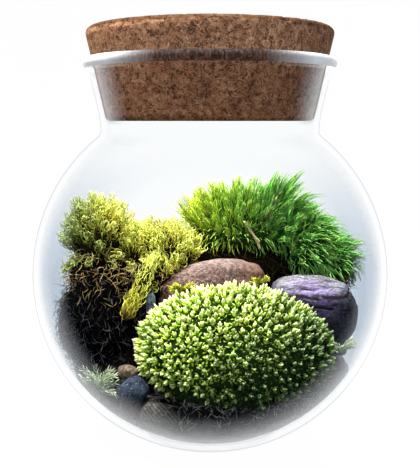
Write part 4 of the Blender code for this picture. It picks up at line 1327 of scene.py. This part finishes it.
class MOSSBOWL_OT_fork(bpy.types.Operator):
    """Builds the fork moss and its dead underside"""

    bl_idname = "mossbowl.fork"
    bl_label = "Fork Moss"

    def execute(self, context):
        rng = np.random.default_rng(61)
        names = ("fork_moss_crown", "fork_moss_flank", "fork_moss_low_clump")
        green_size = sizes().fork_leaf / MM
        dead_size = sizes().strand / MM * 1.2
        dead = Growth()
        for number, (name, lobe) in enumerate(zip(names, FORK)):
            moss = Growth()
            moss.add_core(lobe, 0.94, 60 + number, 0.6, 3)
            others = [other for other in FORK if other is not lobe]
            roots, normals, green = fork_roots(lobe, 4.2, others, rng)
            bundles(moss, roots[green], normals[green], rng)
            roots, normals, green = fork_roots(lobe, 1.9, others, rng)
            for rise in (0.5, 0.8):
                arching_leaves(moss, roots[green], normals[green], green_size, rng, rise)
                arching_leaves(dead, roots[~green], normals[~green], dead_size, rng, rise, 0.0)
            piece = moss.piece(name, fork_finish())
            hand_over(piece, "fork_moss")
        for number, lobe in enumerate(FORK_BASE):
            dead.add_core(lobe, 0.95, 86 + number, 1.0, 3)
            fringe(dead, lobe, 1.9, rng, 0.26, lambda points: smooth(points[:, 0], 0, 22), reach=1.1)
        piece = dead.piece("fork_moss_dead_leaves", fork_base_finish())
        hand_over(piece, "fork_moss_base")
        return {"FINISHED"}


# Plume moss

def columns(lobe, others, spacing, rng):
    """Feet and directions of the upright feathery stems that a lobe is made of."""
    ways = scattered(lobe, spacing, rng)
    normals = lobe.normals(ways)
    roots = lobe.place(ways)
    free = outside(roots, others, 0.9) & outside(roots, STONE_LOBES, 1.0)
    normals, roots = normals[free], roots[free]
    lift = smooth(normals[:, 2:], -0.9, 0.1) * 1.1 - 0.25
    axes = unit(normals * 0.65 + UP * lift + jitter(rng, len(roots), 0.22))
    return roots - normals * 5.0, axes


def feather(growth, feet, axes, heights, rng, gold_of, leaves, curl=1.0):
    """Stems set all round with thin leaves that hook back over themselves."""
    count = len(feet)
    side, other = beside(axes)
    twist = rng.uniform(0, math.tau, count)
    for leaf in range(leaves):
        rise = leaf / (leaves - 1)
        angle = twist + GOLDEN * leaf
        out = side * np.cos(angle)[:, None] + other * np.sin(angle)[:, None]
        spread = math.radians(86 - 46 * rise ** 3)
        ahead = unit(axes * math.cos(spread) + out * math.sin(spread) + jitter(rng, count, 0.3))
        start = feet + axes * (heights * rise)[:, None] + out * 0.3
        size = sizes().plume_leaf / MM * (1.1 - 0.3 * rise ** 4) * rng.uniform(0.75, 1.25, count)
        towards = unit(axes + UP * 0.3 + jitter(rng, count, 0.5))
        paths = curving(start, ahead, towards, size, rng.uniform(2.2, 4.6, count) * curl, 7, 1.5)
        keep = in_glass(paths).all(axis=1) & outside(paths[:, 3], STONE_LOBES, 1.04)
        tone = np.clip(gold_of(start) + rng.uniform(-0.15, 0.15, count), 0, 1)
        growth.add_blades(paths[keep], (out + np.cross(ahead, UP) * 0.5)[keep] + 1e-4,
                          rng.uniform(0.18, 0.30, keep.sum()), HOOK_TAPER, STRAND,
                          np.full(keep.sum(), rise), rng.uniform(0, 1.2, keep.sum()), tone[keep])


def plume_finish():
    """Olive green at the left, a painted shade, and gold towards the light, a painted light."""
    gold = colours().plume_gold
    return leaf_finish(
        "plume_leaves",
        [(0.0, (0.012, 0.010, 0.004)), (0.28, (0.10, 0.09, 0.02)), (0.55, (0.24, 0.32, 0.06)),
         (1.0, (0.50, 0.60, 0.22))],
        [(0.0, (0.020, 0.012, 0.003)), (0.24, (0.30, 0.20, 0.03)), (0.48, gold), (1.0, (0.90, 0.94, 0.36))],
        0.5)


def plume_base_finish():
    """Black fibres below, golden brown curls above."""
    dead = colours().dead
    return leaf_finish(
        "plume_dead_leaves",
        [(0.0, times(dead, 0.05)), (0.2, times(dead, 0.6)), (0.55, times(dead, 9.0))],
        [(0.0, (0.003, 0.002, 0.001)), (0.2, (0.36, 0.24, 0.07)), (0.55, (0.95, 0.80, 0.42))], 0.7)


class MOSSBOWL_OT_plume(bpy.types.Operator):
    """Builds the plume moss and its dead base"""

    bl_idname = "mossbowl.plume"
    bl_label = "Plume Moss"

    def execute(self, context):
        rng = np.random.default_rng(71)
        tall, middle, finger = PLUME

        # Painted light: the tall head turns gold towards its top right
        def tall_gold(points):
            return smooth(points[:, 0] * 0.9 + points[:, 2] * 0.5, -8.0, 16.0)

        # Painted light: the low heads turn more gold higher up
        def full_gold(points):
            return 0.7 + smooth(points[:, 2], 84.0, 100.0) * 0.3

        head = Growth()
        head.add_core(tall, 0.86, 70, 0.1, 3)
        feet, axes = columns(tall, [middle], 4.8, rng)
        feather(head, feet, axes, rng.uniform(8.5, 12.0, len(feet)), rng, tall_gold, 34)
        piece = head.piece("plume_moss_tall_head", plume_finish())
        hand_over(piece, "plume_moss")

        heads = Growth()
        heads.add_core(middle, 0.86, 71, 0.3, 3)
        heads.add_core(finger, 0.70, 72, 0.4, 3)
        feet, axes = columns(middle, [tall], 4.8, rng)
        feather(heads, feet, axes, rng.uniform(7.5, 11.0, len(feet)), rng, full_gold, 32)
        heads.add_core(PLUME_SADDLE, 0.75, 73, 0.3, 3)
        feet, axes = columns(PLUME_SADDLE, [tall, middle], 4.8, rng)
        feather(heads, feet, axes, rng.uniform(6.5, 9.0, len(feet)), rng, full_gold, 30)
        feet, axes = columns(PLUME_SKIRT, [middle, PLUME_SADDLE], 5.0, rng)
        feather(heads, feet, axes, rng.uniform(6.5, 9.0, len(feet)), rng, full_gold, 26)
        way = unit(finger.place(UP) - finger.centre)
        half = finger.semis[2]
        foot = (finger.centre - way * half)[None]
        feather(heads, foot, way[None], np.array([half * 2]), rng, full_gold, 300, 0.8)
        feather(heads, foot + 0.8, way[None], np.array([half * 2 - 1.0]), rng, full_gold, 200, 1.0)
        piece = heads.piece("plume_moss_low_heads", plume_finish())
        hand_over(piece, "plume_moss")

        def brown(points):
            return smooth(points[:, 2] + cloudy(points, 0.12, 4) * 12.0, 70.0, 88.0) - 0.2

        def golden(points):
            return smooth(points[:, 2] + cloudy(points, 0.12, 4) * 12.0, 68.0, 88.0)

        dead = Growth()
        for number, lobe in enumerate(PLUME_NECK):
            dead.add_core(lobe, 0.9, 95 + number, 0.2, 3)
            fringe(dead, lobe, 2.2, rng, 0.17, golden, curl=3.4, fall=0.2, reach=1.2)
        for number, lobe in enumerate(PLUME_BASE):
            dead.add_core(lobe, 0.95, 90 + number, 0.0, 4)
            fringe(dead, lobe, 1.8, rng, 0.20, brown, curl=2.6, fall=0.8)
        piece = dead.piece("plume_moss_dead_base", plume_base_finish())
        hand_over(piece, "plume_moss_base")
        return {"FINISHED"}


# Sprigs and stems

# Stems, their reach, and the inner and outer colour of each sprig
SPRIGS = {
    "sprig_left": (22, 13.0, (0.42, 0.52, 0.28), (0.78, 0.86, 0.60)),
    "sprig_right": (9, 7.5, (0.34, 0.46, 0.18), (0.85, 0.92, 0.62)),
    "sprig_rear_left": (9, 6.0, (0.40, 0.42, 0.03), (0.80, 0.80, 0.12)),
    "sprig_rear_right": (9, 6.0, (0.42, 0.46, 0.04), (0.86, 0.86, 0.18)),
}


def sprig(name, stems, reach, inner, outer):
    """A tuft of fine leafy stems on a small root knot, where its node stands."""
    low, high = (np.array(corner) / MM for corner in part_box(name))
    rng = np.random.default_rng(len(name) * 7 + stems)
    centre = np.array(((low[0] + high[0]) / 2, (low[1] + high[1]) / 2, low[2] + 2.4))
    ways = unit(rng.normal(size=(stems * 4, 3)) * (1.0, 0.7, 0.6) + UP * 0.9)
    ways = ways[ways[:, 2] > 0.05][:stems]
    count = len(ways)
    paths = curving(centre + ways * 1.0, ways, unit(ways * (1, 1, 0) - UP * 0.3),
                    reach * rng.uniform(0.7, 1.0, count), rng.uniform(0.3, 1.1, count), 4)
    tuft = Growth()
    tuft.add_core(Lobe(centre, (2.2, 2.2, 2.2)), 1.0, 4, 0.0, 2)
    for step in range(1, 5):
        along = unit(paths[:, step] - paths[:, step - 1])
        side, other = beside(along)
        for leaf in range(6):
            angle = GOLDEN * (leaf + step * 6)
            out = side * math.cos(angle) + other * math.sin(angle)
            start = paths[:, step - 1] + (paths[:, step] - paths[:, step - 1]) * (leaf / 6)
            leaves = curving(start, unit(along + out * 0.9), along,
                             rng.uniform(0.22, 0.34, count) * reach, np.full(count, 0.5), 3)
            keep = in_glass(leaves).all(axis=1)
            tuft.add_blades(leaves[keep], out[keep], np.full(keep.sum(), 0.3), SPRIG_TAPER, LEAF,
                            np.full(keep.sum(), step / 4), rng.uniform(0, 1, keep.sum()),
                            np.zeros(keep.sum()))
    stops = [(0.0, times(inner, 0.2)), (0.4, inner), (1.0, outer)]
    piece = tuft.piece(name + "_leaves", leaf_finish(name + "_leaf", stops, stops))
    hand_over(piece, name)


class MOSSBOWL_OT_sprigs(bpy.types.Operator):
    """Builds the four small sprigs"""

    bl_idname = "mossbowl.sprigs"
    bl_label = "Sprigs"

    def execute(self, context):
        for name, form in SPRIGS.items():
            sprig(name, *form)
        return {"FINISHED"}


def stem_finish(name, base, dark):
    """Dry stem with lengthwise fibres."""
    material, tree, shader = new_finish(name, 0.75, 0.2)
    streaks = clouds(tree, stretched(tree, where(tree), (1.0, 1.0, 0.12)), 1500.0, 4.0)
    dyed(tree, shader, ramp(tree, streaks, [(0.35, dark), (0.5, base), (0.68, times(base, 1.4))]))
    bumped(tree, shader, streaks, 0.5, 0.0003)
    return material


# Paths of the stems, moved back to where their nodes lean on the moss
STRAW_PATH = ((26.0, -12.0, 95.5), (24.5, -12.4, 100.0), (21.0, -12.9, 105.0), (17.3, -13.2, 110.4))
TWIG_PATH = ((28.7, -14.0, 111.3), (31.7, -13.0, 115.8), (33.2, -12.0, 120.3), (37.2, -10.0, 124.0))
STEM_PIECES = {"straw_stem": "straw_stem_fibrous", "dry_twig": "dry_twig_bark"}


def round_stem(path, radius, knots):
    """A thin round stem with small knots."""
    points = [np.array(point, dtype=float) for point in path]
    fine = []
    for start, end in zip(points, points[1:]):
        fine += [start + (end - start) * step / 6 for step in range(6)]
    fine = np.array([fine + [points[-1]]])
    sides = 8
    form = [(math.cos(math.tau * corner / sides), math.sin(math.tau * corner / sides))
            for corner in range(sides)]
    steps = fine.shape[1] - 1
    profile = [1.0 - 0.35 * step / steps + (0.35 if step in knots else 0.0) for step in range(steps)]
    mesh_points, faces, _ = blades(fine, np.array([[0.0, 1.0, 0.2]]), np.array([radius]), profile, form)
    faces = [list(reversed(range(sides)))] + [list(face) for face in faces[1:]]
    return mesh_points, faces


class MOSSBOWL_OT_stems(bpy.types.Operator):
    """Builds the straw stem and the dark twig"""

    bl_idname = "mossbowl.stems"
    bl_label = "Straw and Twig"

    def execute(self, context):
        paths = {"straw_stem": STRAW_PATH, "dry_twig": TWIG_PATH}
        finishes = {"straw_stem": stem_finish("straw_fibre", (0.62, 0.50, 0.28), (0.28, 0.17, 0.07)),
                    "dry_twig": stem_finish("dark_bark", (0.060, 0.042, 0.035), (0.015, 0.010, 0.008))}
        for name, path in paths.items():
            low, high = (np.array(corner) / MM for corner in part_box(name))
            way = np.array(path, dtype=float)
            way[:, 1] += low[1] + 0.7 - way[:, 1].min()
            points, faces = round_stem(way, 0.72, (6, 12))
            piece = mesh_piece(STEM_PIECES[name], points, faces, finishes[name])
            hand_over(piece, name)
        return {"FINISHED"}


# Stage

# Place, aim, watts, side and colour of each light
SOFT_LIGHTS = {
    "key_from_above": ((-0.18, -0.08, 0.74), (0.0, 0.0, 0.08), 17.0, 0.22, (1.0, 0.97, 0.91)),
    "rim_from_behind": ((0.25, 0.60, 0.62), (0.0, 0.0, 0.10), 3.5, 0.4, (1.0, 1.0, 0.97)),
    "fill_from_front": ((0.12, -0.95, 0.42), (0.0, 0.0, 0.09), 5.0, 0.7, (0.90, 0.95, 1.0)),
}
CAMERA_PLACE = (0.0, -0.395, 0.162)
CAMERA_DIP = 8.39
CAMERA_LENS = 59.5


def sweep_finish():
    """Plain white sweep, faintly mottled."""
    material, tree, shader = new_finish("pale_sweep", 0.9, 0.0)
    cloud = clouds(tree, where(tree), 3.0, 2.0)
    shader.inputs["Base Color"].default_value = (0.04, 0.04, 0.04, 1.0)
    tint = ramp(tree, cloud, [(0.3, (0.995, 0.998, 1.0)), (0.7, (1.0, 1.0, 1.0))])
    tree.links.new(tint, shader.inputs["Emission Color"])
    shader.inputs["Emission Strength"].default_value = 0.985
    material.cycles.emission_sampling = "NONE"
    return material


def room():
    """The white room that the glass mirrors."""
    world = bpy.data.worlds.new("soft_room")
    world.use_nodes = True
    tree = world.node_tree
    height = axis_of(tree, node(tree, "TexCoord").outputs["Generated"], "Z")
    level = ramp(tree, height, [(0.0, (0.97, 0.98, 1.0)), (0.6, (0.90, 0.93, 0.97))])
    tree.links.new(level, tree.nodes["Background"].inputs["Color"])
    world.cycles_visibility.diffuse = False
    return world


def studio_sweep():
    """A round floor that rises into a wall on all sides."""
    profile = [(200.0, 0.0), (500.0, 0.0), (900.0, 0.0)]
    profile += arc((900.0, 700.0), 700.0, -80, 0, 14)
    profile += [(1600.0, 1600.0)]
    points = turned(profile, SWEEP_SEGMENTS) + [(0.0, 0.0, 0.0)]
    centre = len(points) - 1
    faces = []
    for step in range(SWEEP_SEGMENTS):
        after = (step + 1) % SWEEP_SEGMENTS
        faces.append((centre, step, after))
        for ring in range(len(profile) - 1):
            here = ring * SWEEP_SEGMENTS
            above = here + SWEEP_SEGMENTS
            faces.append((here + step, above + step, above + after, here + after))
    sweep = mesh_piece("studio_sweep", np.array(points), faces, sweep_finish())
    sweep.location.z = -0.0002
    sweep.visible_diffuse = False


def soft_light(name, place, aim, power, size, tint):
    """A square area light aimed at a point."""
    data = bpy.data.lights.new(name, "AREA")
    data.energy = power
    data.size = size
    data.color = tint
    light = bpy.data.objects.new(name, data)
    light.location = place
    light.rotation_euler = (Vector(aim) - Vector(place)).to_track_quat("-Z", "Y").to_euler()
    light.visible_glossy = False
    light.visible_transmission = False
    bpy.context.scene.collection.objects.link(light)


class MOSSBOWL_OT_studio(bpy.types.Operator):
    """Sets the sweep, the soft lights and the camera"""

    bl_idname = "mossbowl.studio"
    bl_label = "Studio"

    def execute(self, context):
        scene = context.scene
        studio_sweep()
        for name, form in SOFT_LIGHTS.items():
            soft_light(name, *form)
        scene.world = room()
        scene.view_settings.view_transform = "Standard"
        data = bpy.data.cameras.new("garden_camera")
        data.lens = CAMERA_LENS
        data.sensor_width = 36.0
        data.clip_start = 0.01
        camera = bpy.data.objects.new("garden_camera", data)
        camera.location = CAMERA_PLACE
        camera.rotation_euler = (math.radians(90.0 - CAMERA_DIP), 0.0, 0.0)
        scene.collection.objects.link(camera)
        scene.camera = camera
        return {"FINISHED"}


class MOSSBOWL_PT_panel(bpy.types.Panel):
    """Lists the bowl's steps and settings"""

    bl_idname = "MOSSBOWL_PT_panel"
    bl_label = "Moss Bowl"
    bl_space_type = "VIEW_3D"
    bl_region_type = "UI"
    bl_category = "Moss Bowl"

    def draw(self, context):
        layout = self.layout
        for group in (context.scene.moss_bowl_sizes, context.scene.moss_bowl_colours):
            box = layout.box()
            for name in group.__annotations__:
                box.prop(group, name)
        for step in STEPS:
            layout.operator(step.bl_idname)


STEPS = (
    MOSSBOWL_OT_studio,
    MOSSBOWL_OT_glass,
    MOSSBOWL_OT_cork,
    MOSSBOWL_OT_ground,
    MOSSBOWL_OT_stones,
    MOSSBOWL_OT_cushion,
    MOSSBOWL_OT_fork,
    MOSSBOWL_OT_plume,
    MOSSBOWL_OT_sprigs,
    MOSSBOWL_OT_stems,
)
CLASSES = (MossBowlSizes, MossBowlColours) + STEPS + (MOSSBOWL_PT_panel,)


def register():
    """Makes the settings, steps and panel known to Blender."""
    for item in CLASSES:
        bpy.utils.register_class(item)
    bpy.types.Scene.moss_bowl_sizes = PointerProperty(type=MossBowlSizes)
    bpy.types.Scene.moss_bowl_colours = PointerProperty(type=MossBowlColours)


def unregister():
    """Takes them back out."""
    del bpy.types.Scene.moss_bowl_sizes
    del bpy.types.Scene.moss_bowl_colours
    for item in reversed(CLASSES):
        bpy.utils.unregister_class(item)


def main():
    """Builds the garden step by step."""
    register()
    for step in STEPS:
        group, name = step.bl_idname.split(".")
        getattr(getattr(bpy.ops, group), name)()
    bpy.context.view_layer.update()


if __name__ == "__main__":
    main()
